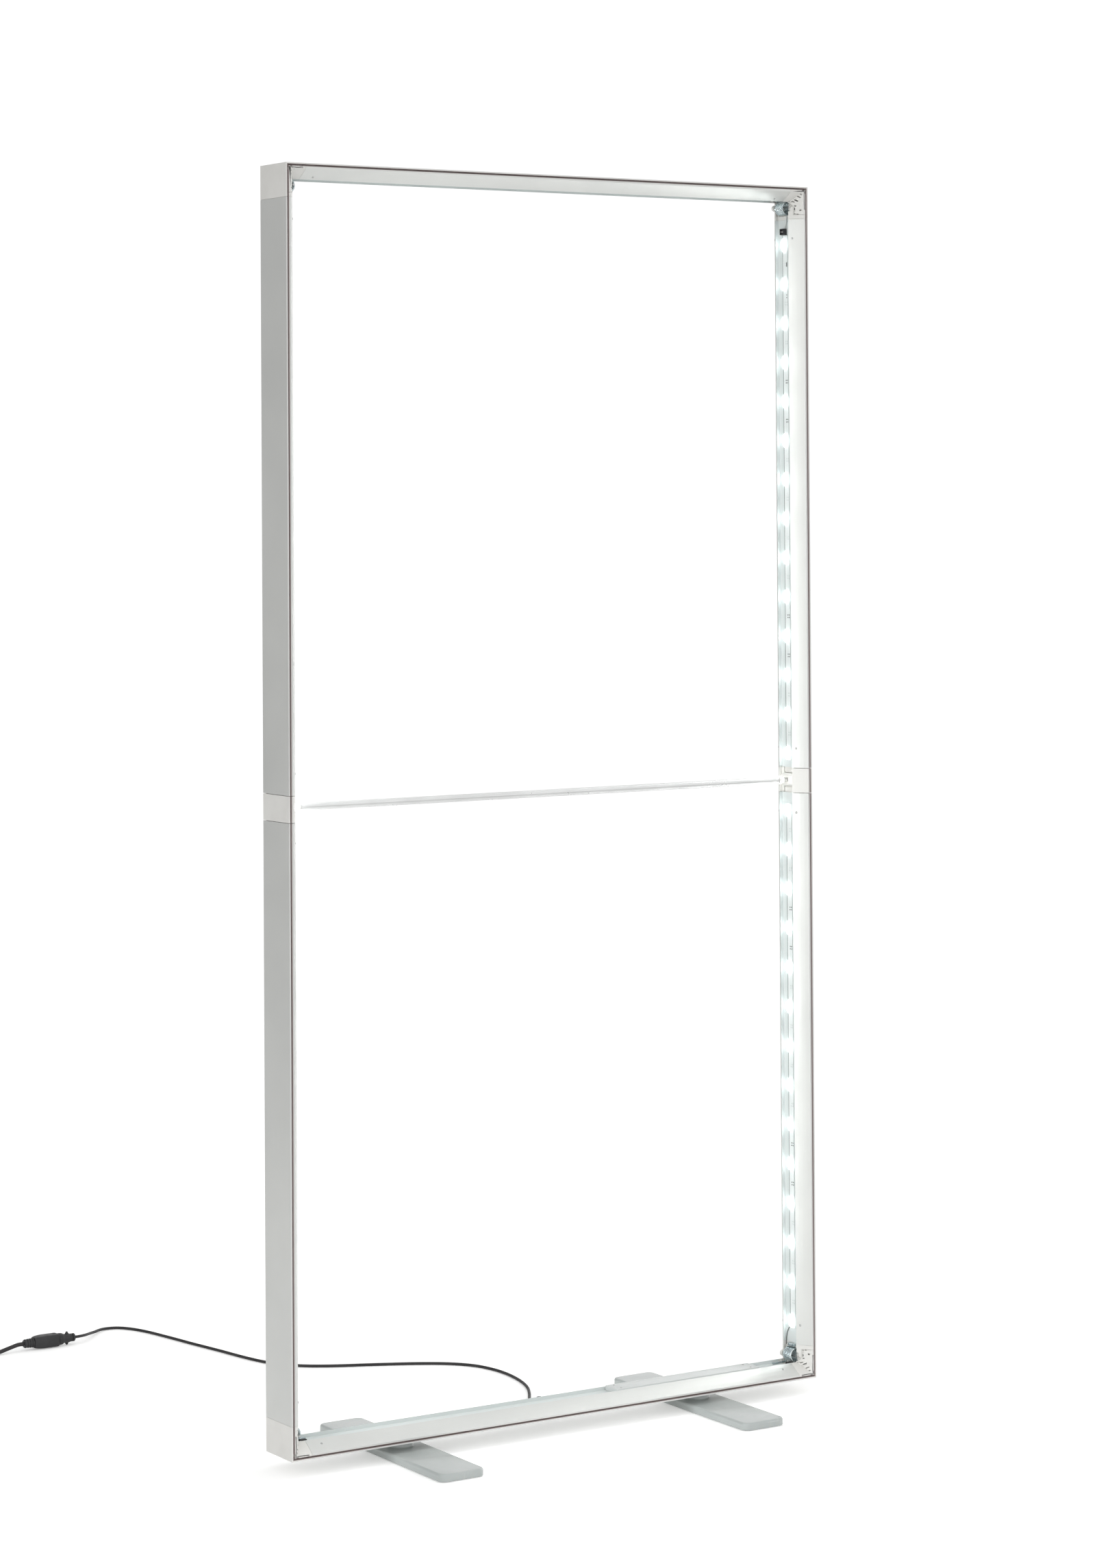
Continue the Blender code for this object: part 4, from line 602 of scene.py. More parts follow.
mainsLead = {
    "radius": 0.0035, "length": 1.76, "floorHeight": 0.0038,
    "route": (
        (-0.4767, 0.9920, 0.0122), (-0.4870, 0.9919, 0.0120), (-0.4985, 0.9893, 0.0104),
        (-0.5095, 0.9884, 0.0080), (-0.5210, 0.9874, 0.0055), (-0.5350, 0.9829, 0.0042),
        (-0.5520, 0.9737, 0.0038), (-0.5700, 0.9633, 0.0038), (-0.5850, 0.9547, 0.0038),
        (-0.5937, 0.9497, 0.0038),
    ),
    "coilStart": (-0.6000, 0.9460), "heading": 210.0, "coilOuter": 0.0512, "coilPitch": 0.0076,
    "coilLayer": 0.0077, "coilTurns": 3, "climbTurns": 0.5, "pointsPerTurn": 24,
    "tailRun": 0.115, "tailBend": 0.018,
    "tail": ((0.10, 0.0, 1.0), (0.42, 0.22, 0.45), (0.68, 0.75, 1.22), (0.90, 1.0, 2.04)),
    "plugHeight": 0.0195,
}


def coilWay():
    heading = math.radians(mainsLead["heading"])
    return Vector((math.cos(heading), math.sin(heading)))


def coilCentre():
    ahead = coilWay()
    return Vector(mainsLead["coilStart"]) + Vector((ahead.y, -ahead.x)) * mainsLead["coilOuter"]


def plugStart():
    ahead = coilWay()
    run = 2 * mainsLead["radius"] + mainsLead["tailRun"]
    return (Vector(mainsLead["coilStart"]) + ahead * run
            + Vector((-ahead.y, ahead.x)) * mainsLead["tailBend"])


def mainsPoints():
    # out of the inline plug, down to the floor, three turns in, three turns out on top, then the tail
    ahead, centre, start = coilWay(), coilCentre(), Vector(mainsLead["coilStart"])
    points = [Vector(p) for p in mainsLead["route"]]
    begin = math.atan2(start.y - centre.y, start.x - centre.x)
    turnsIn, perTurn = mainsLead["coilTurns"], mainsLead["pointsPerTurn"]
    for i in range(2 * turnsIn * perTurn + 1):
        turns = i / perTurn
        radius = mainsLead["coilOuter"] - mainsLead["coilPitch"] * min(turns, 2 * turnsIn - turns)
        angle = begin - 2 * math.pi * turns
        climb = smoothStep((turns - turnsIn) / mainsLead["climbTurns"] + 0.5)
        points.append(Vector((centre.x + radius * math.cos(angle), centre.y + radius * math.sin(angle),
                              mainsLead["floorHeight"] + mainsLead["coilLayer"] * climb)))
    side = Vector((-ahead.y, ahead.x))
    leave = start + ahead * (2 * mainsLead["radius"] + section["gap"])
    points.append(Vector((*leave, mainsLead["floorHeight"] + mainsLead["coilLayer"])))
    for along, across, up in mainsLead["tail"]:
        spot = leave + ahead * mainsLead["tailRun"] * along + side * mainsLead["tailBend"] * across
        points.append(Vector((*spot, mainsLead["floorHeight"] + mainsLead["coilLayer"] * up)))
    points.append(Vector((*(plugStart() - ahead * section["gap"]), mainsLead["plugHeight"])))
    return points


def startCurve(name, kind, count, radius, resolution):
    curve = bpy.data.curves.new(name, 'CURVE')
    curve.dimensions = '3D'
    curve.bevel_depth, curve.bevel_resolution, curve.use_fill_caps = radius, resolution, True
    line = curve.splines.new(kind)
    points = line.bezier_points if kind == 'BEZIER' else line.points
    points.add(count - 1)
    return addObject(name, curve), points


def layLead(name, points, look):
    lead, knots = startCurve(name, 'BEZIER', len(points), look["radius"], 5)
    lead.data.resolution_u = 6
    lead.data.materials.append(made["leadSheath"])
    last = len(points) - 1
    for i, knot in enumerate(knots):
        here, before, after = (Vector(points[min(max(k, 0), last)]) for k in (i, i - 1, i + 1))
        way = (after - before).normalized()
        if here.z < look["floorHeight"] + 0.0002:
            way.z = 0  # flat where it lies on the floor
        knot.handle_left_type = knot.handle_right_type = 'FREE'
        knot.co = here
        knot.handle_left = here - way * (here - before).length / 3
        knot.handle_right = here + way * (after - here).length / 3
    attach(lead, "base")
    return lead


frameLeadPiece = layLead("frameLead", frameLead["route"], frameLead)
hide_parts("frame_lead")
mainsLeadPiece = layLead("mainsLead", mainsPoints(), mainsLead)
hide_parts("mains_lead", "mains_lead_coil", "mains_lead_tail")
print("leads laid")


def tubeMesh(name, finish, points, radii, resolution=4):
    # a tube of changing thickness along points, made a mesh
    tube, knots = startCurve(name, 'POLY', len(points), 1.0, resolution)
    for knot, point, radius in zip(knots, points, radii):
        knot.co = (*point, 1)
        knot.radius = radius
    workOn(tube)
    bpy.ops.object.convert(target='MESH')
    return smoothPiece(cleanMesh(namePiece(bpy.context.object, name, finish)), 40)


# Tapered, ribbed relief where the frame's lead leaves the bottom bar
leadRelief = {
    "start": 0.0440, "length": 0.026, "rootRadius": 0.0050, "tipRadius": 0.0032, "ribs": 6, "ribCut": 0.0007,
}


def makeLeadRelief(shape):
    steps = 36
    points, radii = [], []
    for i in range(steps + 1):
        t = i / steps
        y = shape["start"] + shape["length"] * t
        sag = smoothStep((y - 0.050) / 0.060) * 0.0085
        points.append(Vector((0.0150 + smoothStep((y - 0.052) / 0.050) * 0.0085, y, 0.0345 - sag)))
        taper = shape["rootRadius"] + (shape["tipRadius"] - shape["rootRadius"]) * t
        ribbed = 0.12 < t < 0.93 and (t * shape["ribs"]) % 1.0 > 0.55
        radii.append(taper - (shape["ribCut"] if ribbed else 0.0))
    return settle(tubeMesh("leadReliefBoot", "blackRubber", points, radii), "base")


leadReliefPiece = makeLeadRelief(leadRelief)

# Inline connector: a socket half with two wings, and a moulded plug half with a ribbed ridge
inlinePair = {
    "x": -0.378, "y": 0.992, "z": 0.0122, "socketLength": 0.033, "gap": 0.0003,
    "socket": (
        (0.0000, 0.0046), (0.0004, 0.0062), (0.0011, 0.0071), (0.0041, 0.0071), (0.0046, 0.0066),
        (0.0048, 0.0058), (0.0057, 0.0058), (0.0059, 0.0066), (0.0064, 0.0071), (0.0093, 0.0071),
        (0.0098, 0.0067), (0.0101, 0.0074), (0.0108, 0.0078), (0.0202, 0.0080), (0.0224, 0.0088),
        (0.0246, 0.0098), (0.0264, 0.0103), (0.0300, 0.0105), (0.0318, 0.0105), (0.0326, 0.0102),
        (0.0330, 0.0097),
    ),
    "wingPlace": 0.0150, "wingRoot": 0.0046, "wingTip": 0.0012, "wingReach": 0.0117, "wingThickness": 0.0036,
    "plug": ((0.0000, 0.0106, 0.0100), (0.0006, 0.0114, 0.0106), (0.0030, 0.0120, 0.0110),
             (0.0300, 0.0120, 0.0110), (0.0345, 0.0116, 0.0108), (0.0400, 0.0108, 0.0102),
             (0.0440, 0.0099, 0.0095), (0.0465, 0.0090, 0.0088)),
    "chamfer": 0.0042, "reliefLength": 0.019, "reliefRoot": 0.0086, "reliefEnd": 0.0074, "reliefRibs": 4,
    "gripSlots": 6, "gripStart": 0.0072, "gripPitch": 0.0036, "ridgeStart": 0.0045, "ridgeLength": 0.026,
    "ridgeHalf": 0.0034, "ridgeRibs": 7,
}


def makeInlineSocket(shape):
    shell = turnPiece("inlineSocket", "blackPlastic", shape["socket"], 36)
    wings = []
    for way in (-1, 1):
        root, tip, half = shape["wingRoot"], shape["wingTip"], shape["wingThickness"] / 2
        wing = blockPiece("inlineWing", "blackPlastic", (-half, 0.0050, shape["wingPlace"] - root),
                          (half, shape["wingReach"], shape["wingPlace"] + root))
        openMesh(wing)
        pick(wing, 'FACE', lambda face: face.normal.y > 0.9)
        middle = (0, shape["wingReach"], shape["wingPlace"])
        bpy.ops.transform.resize(value=(0.72, 1, tip / root), center_override=middle)
        closeMesh()
        bevelPiece(wing, 0.0005, 2)
        if way < 0:
            putAt(wing, Matrix.Rotation(math.pi, 4, 'Z'))
        wings.append(smoothPiece(wing))
    piece = joinPieces("inlineSocket", [shell] + wings)
    toWorld = alongAxis((shape["x"], shape["y"], shape["z"]), (-1, 0, 0))
    # local Y has to stand upright so that the wings point up and down
    return settle(putAt(piece, toWorld @ uprightRoll((-1, 0, 0))), "base", "lead_socket")


def uprightRoll(way):
    # extra turn about the axis that brings local Y to world Z
    turn = Vector(way).to_track_quat('Z', 'Y').to_matrix()
    localY, localX = turn @ Vector((0, 1, 0)), turn @ Vector((1, 0, 0))
    return Matrix.Rotation(math.atan2(-localX.z, localY.z), 4, 'Z')


def makeInlinePlug(shape):
    selectNothing()
    rings = shape["plug"]
    along, across, up = rings[0]
    bpy.ops.mesh.primitive_plane_add(size=1, location=(0, 0, along))
    shell = namePiece(bpy.context.object, "inlinePlug", "blackPlastic")
    shell.scale = (2 * across, 2 * up, 1)
    bakePlace()
    openMesh(shell)
    pickAll()
    bpy.ops.mesh.bevel(offset=shape["chamfer"], segments=3, affect='VERTICES')
    pickAll()
    for nextAlong, nextAcross, nextUp in rings[1:]:
        pushOut(0, 0, nextAlong - along)
        bpy.ops.transform.resize(value=(nextAcross / across, nextUp / up, 1), center_override=(0, 0, nextAlong))
        along, across, up = nextAlong, nextAcross, nextUp
    closeMesh()
    smoothPiece(shell, 28)
    end = rings[-1][0]
    relief = [(end - 0.002, shape["reliefRoot"] - 0.0012)]
    for rib in range(shape["reliefRibs"]):
        for place, out in ((0.05, 0), (0.09, 0.8), (0.16, 1), (0.56, 1), (0.63, 0.8), (0.67, 0), (0.97, 0)):
            t = (rib + place) / shape["reliefRibs"]
            radius = shape["reliefRoot"] + (shape["reliefEnd"] - shape["reliefRoot"]) * t
            relief.append((end + shape["reliefLength"] * t, radius - 0.0012 * (1 - out)))
    relief.append((end + shape["reliefLength"], shape["reliefEnd"] - 0.0022))
    parts = [shell, turnPiece("inlineRelief", "blackPlastic", relief, 32)]
    top = rings[3][2]
    start, run, half = shape["ridgeStart"], shape["ridgeLength"], shape["ridgeHalf"]
    wide = rings[3][1]

    def addRib(name, low, high):
        parts.append(smoothPiece(blockPiece(name, "blackPlastic", low, high, 0.0003, 2)))

    for way in (-1, 1):
        addRib("inlineRidge", (-half, way * (top - 0.0012), start), (half, way * (top - 0.0002), start + run))
        for k in range(shape["ridgeRibs"]):
            z = start + run * (k + 0.5) / shape["ridgeRibs"]
            addRib("inlineRib", (-half * 0.8, way * (top - 0.0010), z - 0.0009),
                   (half * 0.8, way * top, z + 0.0009))
    for way in (-1, 1):
        for k in range(shape["gripSlots"]):
            z = shape["gripStart"] + shape["gripPitch"] * k
            addRib("inlineGrip", (way * (wide - 0.0010), -0.0056, z - 0.0009),
                   (way * (wide - 0.0001), 0.0056, z + 0.0009))
    piece = joinPieces("inlinePlug", parts)
    face = shape["x"] - shape["socketLength"] - shape["gap"]
    toWorld = alongAxis((face, shape["y"], shape["z"]), (-1, 0, 0)) @ uprightRoll((-1, 0, 0))
    return settle(putAt(piece, toWorld), "base", "lead_plug")


inlineSocketPiece = makeInlineSocket(inlinePair)
inlinePlugPiece = makeInlinePlug(inlinePair)

# Mains plug and the two ties that hold the coil
mainsPlug = {
    "relief": 0.030, "body": 0.036, "faceLength": 0.014, "radius": 0.0190, "neckRadius": 0.0115,
    "reliefRadius": 0.0062, "pinRadius": 0.0024, "pinLength": 0.019, "pinSpacing": 0.019,
}
coilTie = {"angles": (70.0, 250.0), "width": 0.0070, "thickness": 0.0007, "inner": 0.0240, "outer": 0.0555,
           "low": 0.0001, "high": 0.0158}


def makeMainsPlug(shape):
    neck, face = shape["relief"], shape["relief"] + shape["body"]
    steps = [(0.0, 0.0041), (0.0006, 0.0046)]
    for rib in range(6):
        z = 0.003 + rib * 0.0042
        radius = 0.0046 + (shape["reliefRadius"] - 0.0046) * (z / neck)
        steps += [(z, radius), (z + 0.0004, radius - 0.0008), (z + 0.0014, radius - 0.0008), (z + 0.0018, radius)]
    wide, body = shape["radius"], face - shape["faceLength"]
    steps += [(neck, shape["reliefRadius"]), (neck + 0.0004, shape["neckRadius"] - 0.0014),
              (neck + 0.0016, shape["neckRadius"]), (neck + 0.0070, shape["neckRadius"] + 0.0011),
              (body - 0.0060, wide - 0.0046), (body - 0.0014, wide - 0.0016), (body + 0.0011, wide),
              (face - 0.0040, wide), (face - 0.0036, wide - 0.0006), (face - 0.0030, wide - 0.0006),
              (face - 0.0026, wide), (face - 0.0011, wide), (face - 0.0003, wide - 0.0006), (face, wide - 0.0014)]
    shell = turnPiece("mainsPlug", "blackPlastic", steps, 48)
    pins = []
    for way in (-1, 1):
        r = shape["pinRadius"]
        pin = turnPiece("mainsPlugPin", "plainSteel", [
            (face - 0.002, r), (face + shape["pinLength"] - 0.0016, r), (face + shape["pinLength"] - 0.0005, r * 0.8),
            (face + shape["pinLength"], r * 0.45)], 20)
        sleeve = turnPiece("mainsPlugSleeve", "blackPlastic", [
            (face - 0.002, r + 0.0003), (face + 0.0085, r + 0.0003), (face + 0.0090, r)], 20)
        shift = Matrix.Translation((way * shape["pinSpacing"] / 2, 0, 0))
        pins += [putAt(pin, shift), putAt(sleeve, shift)]
    piece = joinPieces("mainsPlug", [shell] + pins)
    spot = plugStart()
    ahead = coilWay()
    way = (ahead.x, ahead.y, 0)
    toWorld = alongAxis((spot.x, spot.y, mainsLead["plugHeight"]), way) @ uprightRoll(way)
    return settle(putAt(piece, toWorld), "base", "mains_plug")


def makeCoilTie(index, angle, shape):
    # a flat strap round the bundle: an open box, given a wall and rounded edges
    half = shape["width"] / 2
    strap = blockPiece("coilTie" + str(index), "blackRubber", (shape["inner"], -half, shape["low"]),
                       (shape["outer"], half, shape["high"]))
    openMesh(strap)
    pick(strap, 'EDGE', lambda edge: all(abs(abs(v.co.y) - half) > half for v in edge.verts)
         or abs(edge.verts[0].co.y - edge.verts[1].co.y) > half)
    bpy.ops.mesh.bevel(offset=0.0035, segments=5, affect='EDGES')
    pick(strap, 'FACE', lambda face: abs(face.normal.y) > 0.9)
    bpy.ops.mesh.delete(type='FACE')
    closeMesh()
    wall = strap.modifiers.new("wall", 'SOLIDIFY')
    wall.thickness, wall.offset = shape["thickness"], -1
    applyLast(strap, wall)
    head = blockPiece("coilTieHead", "blackRubber", (shape["outer"] - 0.0020, -half - 0.0008, shape["high"] - 0.0044),
                      (shape["outer"] + 0.0012, half + 0.0008, shape["high"] - 0.0004), 0.0005, 2)
    strap = joinPieces("coilTie" + str(index), [smoothPiece(strap), smoothPiece(head)])
    centre = coilCentre()
    return settle(putAt(strap, Matrix.Translation((centre.x, centre.y, 0))
                        @ Matrix.Rotation(math.radians(angle), 4, 'Z')), "base")


mainsPlugPiece = makeMainsPlug(mainsPlug)
tiePieces = [makeCoilTie(k, angle, coilTie) for k, angle in enumerate(coilTie["angles"])]
print("connector, plug and ties made")

# Torsion springs in the corners: real wire wound round the hinge, one leg on each bar
cornerSpring = {
    "wire": 0.0031, "radius": 0.0108, "front": 0.0133, "pitch": 0.0038, "startAngle": 126.0, "turns": 6,
    "armLeg": 0.060, "railLeg": 0.052, "settle": 0.010, "pointsPerTurn": 30, "centre": (0.0200, 0.0337),
    "hinge": (0.024, 0.033),
}


def springLine(shape, at):
    start = math.radians(shape["startAngle"])
    hingeA, hingeB = shape["centre"]
    low = section["floor"] + section["gap"] + shape["wire"] / 2
    first = Vector((hingeA + shape["radius"] * math.cos(start), hingeB + shape["radius"] * math.sin(start)))
    back = Vector((math.sin(start), -math.cos(start)))
    reach = (low - first.x) / back.x
    bend = first + back * reach
    leadIn = bend + Vector((0, abs(reach)))
    flat = [(low, shape["armLeg"]), (low, (shape["armLeg"] + leadIn.y) / 2)]
    for i in range(10):
        t = i / 10
        spot = leadIn * (1 - t) ** 2 + bend * 2 * t * (1 - t) + first * t * t
        flat.append((spot.x, spot.y))
    depth = [-shape["front"]] * len(flat)
    sweep = math.radians(270) - start + 2 * math.pi * shape["turns"]
    count = round(sweep / (2 * math.pi) * shape["pointsPerTurn"])
    rise = sweep / (2 * math.pi) * shape["pitch"]
    for i in range(count + 1):
        angle = start + sweep * i / count
        flat.append((hingeA + shape["radius"] * math.cos(angle), hingeB + shape["radius"] * math.sin(angle)))
        depth.append(-shape["front"] + rise * i / count)
    bottom = hingeB - shape["radius"]
    for i in range(1, 9):
        t = i / 8
        flat.append((hingeA + shape["settle"] * t, bottom + (low - bottom) * smoothStep(t)))
        depth.append(depth[-1])
    flat.append((shape["railLeg"], low))
    depth.append(depth[-1])
    return [cornerPoint(at.side, at.level, a, b, v) for (a, b), v in zip(flat, depth)]


def makeCornerSpring(shape, at):
    points = springLine(shape, at)
    spring = tubeMesh(at.block + "Spring", "zincSpring", points, [shape["wire"] / 2] * len(points), 3)
    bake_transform(spring)
    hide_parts(at.blockNode + "_spring")


for at in corners:
    makeCornerSpring(cornerSpring, at)
print("corner springs wound")

# Corner blocks and hinge ends: the solids again, with their fine slots, marks and a deeper recess.
# The tools are made once in (a, v, b) and turned to each corner.
cornerDetail = {
    "lipStart": 0.00563, "bulge": 0.0008, "cheekSteps": 4, "fillLow": 0.0163, "fillPost": (0.01793, 0.03857),
    "fillRail": (0.02387, 0.03013), "proud": 0.00003, "recess": (0.0200, 0.0337, 0.0128, 0.0153),
    # a, b, length, width and lean of each slot, then the square marks and the screw hole
    "slots": ((0.0189, 0.0243, 0.0044, 0.0017, 58), (0.0155, 0.0226, 0.0062, 0.0022, 50),
              (0.0130, 0.0166, 0.0052, 0.0018, 56), (0.0110, 0.0123, 0.0030, 0.0013, 58)),
    "marks": ((0.0224, 0.0238, 0.0018, 0.0016), (0.0208, 0.0250, 0.0012, 0.0016), (0.0172, 0.0317, 0.0024, 0.0016),
              (0.0178, 0.0366, 0.0009, 0.0044), (0.0176, 0.0410, 0.0014, 0.0014), (0.0174, 0.0448, 0.0018, 0.0026),
              (0.0146, 0.0456, 0.0026, 0.0018)),
    "screw": (0.0115, 0.0392, 0.0015), "depth": 0.0050, "knobCut": (0.0213, 0.0330),
}


def cornerMatrix(at):
    height = section["bottom"] if at.level < 0 else section["top"]
    return Matrix(((-at.side, 0, 0, at.side * section["halfWidth"]), (0, 1, 0, 0), (0, 0, -at.level, height),
                   (0, 0, 0, 1)))


def cheekRun():
    # the cheek's course in (u, v), and the way out of it
    run = Vector((section["bar"] - section["cheekStart"], section["halfChannel"] - section["halfDepth"]))
    return run, Vector((-run.y, run.x)).normalized()


def cheekLine(shape):
    # points (u, v) of the slightly convex cheek
    run, out = cheekRun()
    steps = shape["cheekSteps"]
    return [Vector((section["cheekStart"], section["halfDepth"])) + run * k / steps
            + out * shape["bulge"] * 4 * (k / steps) * (1 - k / steps) for k in range(steps + 1)]


def faceOutwards(piece):
    cleanMesh(piece)
    mesh = bmesh.new()
    mesh.from_mesh(piece.data)
    if mesh.calc_volume(signed=True) < 0:
        bmesh.ops.reverse_faces(mesh, faces=mesh.faces[:])
        mesh.to_mesh(piece.data)
    mesh.free()
    return piece


def cheekFill(shape, name, alongB):
    # a wedge along the cheek that closes the coarse slots, its near end cut at the mitre
    wide, far = shape["fillPost"] if alongB else shape["fillRail"]
    outline = [Vector((shape["lipStart"], section["halfDepth"]))]
    line = cheekLine(shape)
    for here, after in zip(line, line[1:]):
        if here.x < wide:
            outline.append(here)
            if after.x >= wide:
                outline.append(here.lerp(after, (wide - here.x) / (after.x - here.x)))
    outline += [Vector((wide, shape["fillLow"])), Vector((shape["lipStart"], shape["fillLow"]))]
    selectNothing()
    bpy.ops.mesh.primitive_circle_add(vertices=len(outline), radius=0.01, fill_type='NGON')
    wedge = namePiece(bpy.context.object, name, "mouldedGrey")

    def place(spot, along):
        depth = -spot.y - (shape["proud"] if spot.y > shape["fillLow"] else 0)
        return Vector((spot.x, depth, along) if alongB else (along, depth, spot.x))

    for point, spot in zip(wedge.data.vertices, outline):
        point.co = place(spot, spot.x)
    openMesh(wedge)
    pickAll()
    pushOut(0, 0, 0)
    bpy.ops.object.mode_set(mode='OBJECT')
    ends = [point for point in wedge.data.vertices if point.select]
    for point, spot in zip(ends, outline):
        point.co = place(spot, far)
    return faceOutwards(wedge)


def slotTool(shape, a, b, long, wide, lean=0.0):
    # a bar with round corners that stands through the cheek at (a, b)
    above = 0.0030
    top = cheekDepth(max(min(a, b), section["cheekStart"])) + above
    tool = blockPiece("slotTool", "mouldedGrey", (-wide / 2, -top, -long / 2),
                      (wide / 2, above - top + shape["depth"], long / 2))
    openMesh(tool)
    pick(tool, 'EDGE', lambda edge: abs(edge.verts[0].co.y - edge.verts[1].co.y) > 0.003)
    bpy.ops.mesh.bevel(offset=min(wide, long) * 0.42, segments=3, affect='EDGES')
    closeMesh()
    return putAt(tool, Matrix.Translation((a, 0, b)) @ Matrix.Rotation(math.radians(lean), 4, 'Y'))


def carve(piece, tool, solver='MANIFOLD', keep=False):
    cut = piece.modifiers.new("cut", 'BOOLEAN')
    cut.object, cut.operation, cut.solver = tool, 'DIFFERENCE', solver
    applyLast(piece, cut)
    if not keep:
        bpy.data.objects.remove(tool)


def cornerTools(shape):
    # everything for the front face, and the same turned over for the back face
    over = Matrix.Scale(-1, 4, (0, 1, 0))
    bars = [slotTool(shape, a, b, long, wide, -lean) for a, b, long, wide, lean in shape["slots"]]
    bars += [slotTool(shape, a, b, tall, wide) for a, b, wide, tall in shape["marks"]]
    a, b, radius = shape["screw"]
    bore = turnPiece("screwBore", "mouldedGrey", [(-0.003, radius), (0.004, radius), (0.0048, radius * 0.5)], 20)
    bars.append(putAt(bore, alongAxis((a, -cheekDepth(a), b), (0, 1, 0))))
    tools = {"cuts": joinPieces("cornerCuts", bars)}
    tools["cutsBack"] = faceOutwards(copyPiece(tools["cuts"], "cornerCutsBack", over))
    a, b, radius, half = shape["recess"]
    recess = turnPiece("recessTool", "mouldedGrey", [(-half, radius), (half, radius)], 56)
    tools["recess"] = faceOutwards(putAt(recess, alongAxis((a, 0, b), (0, 1, 0))))
    a, b = shape["knobCut"]
    tools["knob"] = blockPiece("knobTool", "mouldedGrey", (a, -0.0235, b - 0.0070),
                               (a + 0.0120, -0.0155, b + 0.0070))
    wedges = []
    for alongB in (True, False):
        wedge = cheekFill(shape, "cheekFill", alongB)
        for key in ("recess", "cuts"):
            carve(wedge, tools[key], keep=True)
        wedges += [wedge, faceOutwards(copyPiece(wedge, "cheekFillBack", over))]
    return tools, joinPieces("cheekFills", wedges)


def makeCorner(tools, fills, at, name, body, node, steps):
    piece = nodes[node].copy()
    piece.data = nodes[node].data.copy()
    bpy.context.scene.collection.objects.link(piece)
    piece.hide_viewport = False
    piece.hide_set(False)
    workOn(namePiece(piece, name, "mouldedGrey"))
    bpy.ops.mesh.customdata_custom_splitnormals_clear()  # the loaded normals don't fit the cut faces
    cleanMesh(piece)
    for key in steps:
        carve(piece, faceOutwards(copyPiece(tools[key], key + "Here", cornerMatrix(at))))
    if fills:
        fill = copyPiece(fills, "fillHere", cornerMatrix(at))
        if at.side * at.level < 0:
            openMesh(fill)
            pickAll()
            bpy.ops.mesh.flip_normals()
            bpy.ops.object.mode_set(mode='OBJECT')
        piece = joinPieces(name, [piece, fill])
    settle(smoothPiece(piece, 20), body, node)


def makeCorners(shape):
    tools, fills = cornerTools(shape)
    for at in corners:
        makeCorner(tools, fills, at, at.block + "Corner", at.carrier, at.blockNode + "_corner",
                   ("recess", "cuts", "cutsBack", "knob"))
        makeCorner(tools, None, at, at.block + "HingeEnd", at.arm, at.postNode + "_hinge_end", ("knob",))
    for tool in [fills] + list(tools.values()):
        bpy.data.objects.remove(tool)


makeCorners(cornerDetail)
print("corners carved")

# Wires between the corners and the light strips; beside each lower spring a black block of painted shade in the gap
# under the coil, and the clip
cornerWires = {
    "upper": {"finish": "caseWhite", "radius": 0.0009, "route": (
        (0.0195, 0.0472, -0.0078), (0.0198, 0.0500, -0.0078), (0.0197, 0.0545, -0.0072), (0.0196, 0.0600, -0.0060),
        (0.0200, 0.0650, -0.0046), (0.0205, 0.0688, -0.0040))},
    "lower": {"finish": "leadSheath", "radius": 0.0005, "route": (
        (0.0188, 0.0474, 0.0166), (0.0188, 0.0520, 0.0166), (0.0188, 0.0600, 0.0160), (0.0189, 0.0680, 0.0140),
        (0.0190, 0.0740, 0.0105), (0.0192, 0.0772, 0.0080))},
    # a black block of painted shade under each lower coil, where the gap is dark
    "pad": {"low": (0.0288, -0.0166, 0.0178), "high": (0.0405, -0.0092, 0.0252)},
    "clip": {"low": (0.0184, -0.0100, 0.0480), "high": (0.0222, 0.0085, 0.0528), "notch": 0.0016,
             "rim": 0.0009},
}


def makeCornerWires(shape, at):
    look = shape["upper" if at.level > 0 else "lower"]
    points = [cornerPoint(at.side, at.level, *spot) for spot in look["route"]]
    settle(tubeMesh(at.post + "StripWire", look["finish"], points, [look["radius"]] * len(points), 3), at.arm)
    if at.level > 0:
        return
    # painted shade: a black block put in the gap under the coil
    pad = blockPiece(at.block + "CoilShade", "blackRubber", *shape["pad"].values(), 0.0009, 3)
    settle(cleanMesh(putAt(pad, cornerMatrix(at))), at.carrier)
    look = shape["clip"]
    clip = blockPiece(at.block + "Clip", "zincSpring", look["low"], look["high"])
    openMesh(clip)
    pick(clip, 'FACE', lambda face: face.normal.x > 0.9)
    bpy.ops.mesh.inset(thickness=look["rim"])
    pushOut(-look["notch"], 0, 0)
    bpy.ops.mesh.subdivide(number_cuts=2)
    pick(clip, 'FACE', lambda face: face.normal.x > 0.9 and abs(face.calc_center_median().y + 0.0008) < 0.0025)
    pushOut(look["notch"], 0, 0)
    closeMesh()
    cleanMesh(putAt(clip, cornerMatrix(at)))
    settle(smoothPiece(bevelPiece(clip, 0.0003, 2)), at.arm)


for at in corners:
    makeCornerWires(cornerWires, at)

# Cross bar: tube, sleeve with its left peg, ferrule, sprung plunger and its spring
crossBar = {
    "end": 0.459, "radius": 0.0060, "sleeveRadius": 0.00675, "sleeveLength": 0.0098, "pegEnd": 0.4861,
    "pegRadius": 0.0038, "ferruleRadius": 0.0070, "ferruleLength": 0.0056, "plungerInner": 0.429,
    "plungerHead": 0.0042, "springLength": 0.024, "springRadius": 0.0032, "springWire": 0.0008, "springTurns": 7,
    "reach": 0.018,  # how far the sleeve and the ferrule reach into the tube
}


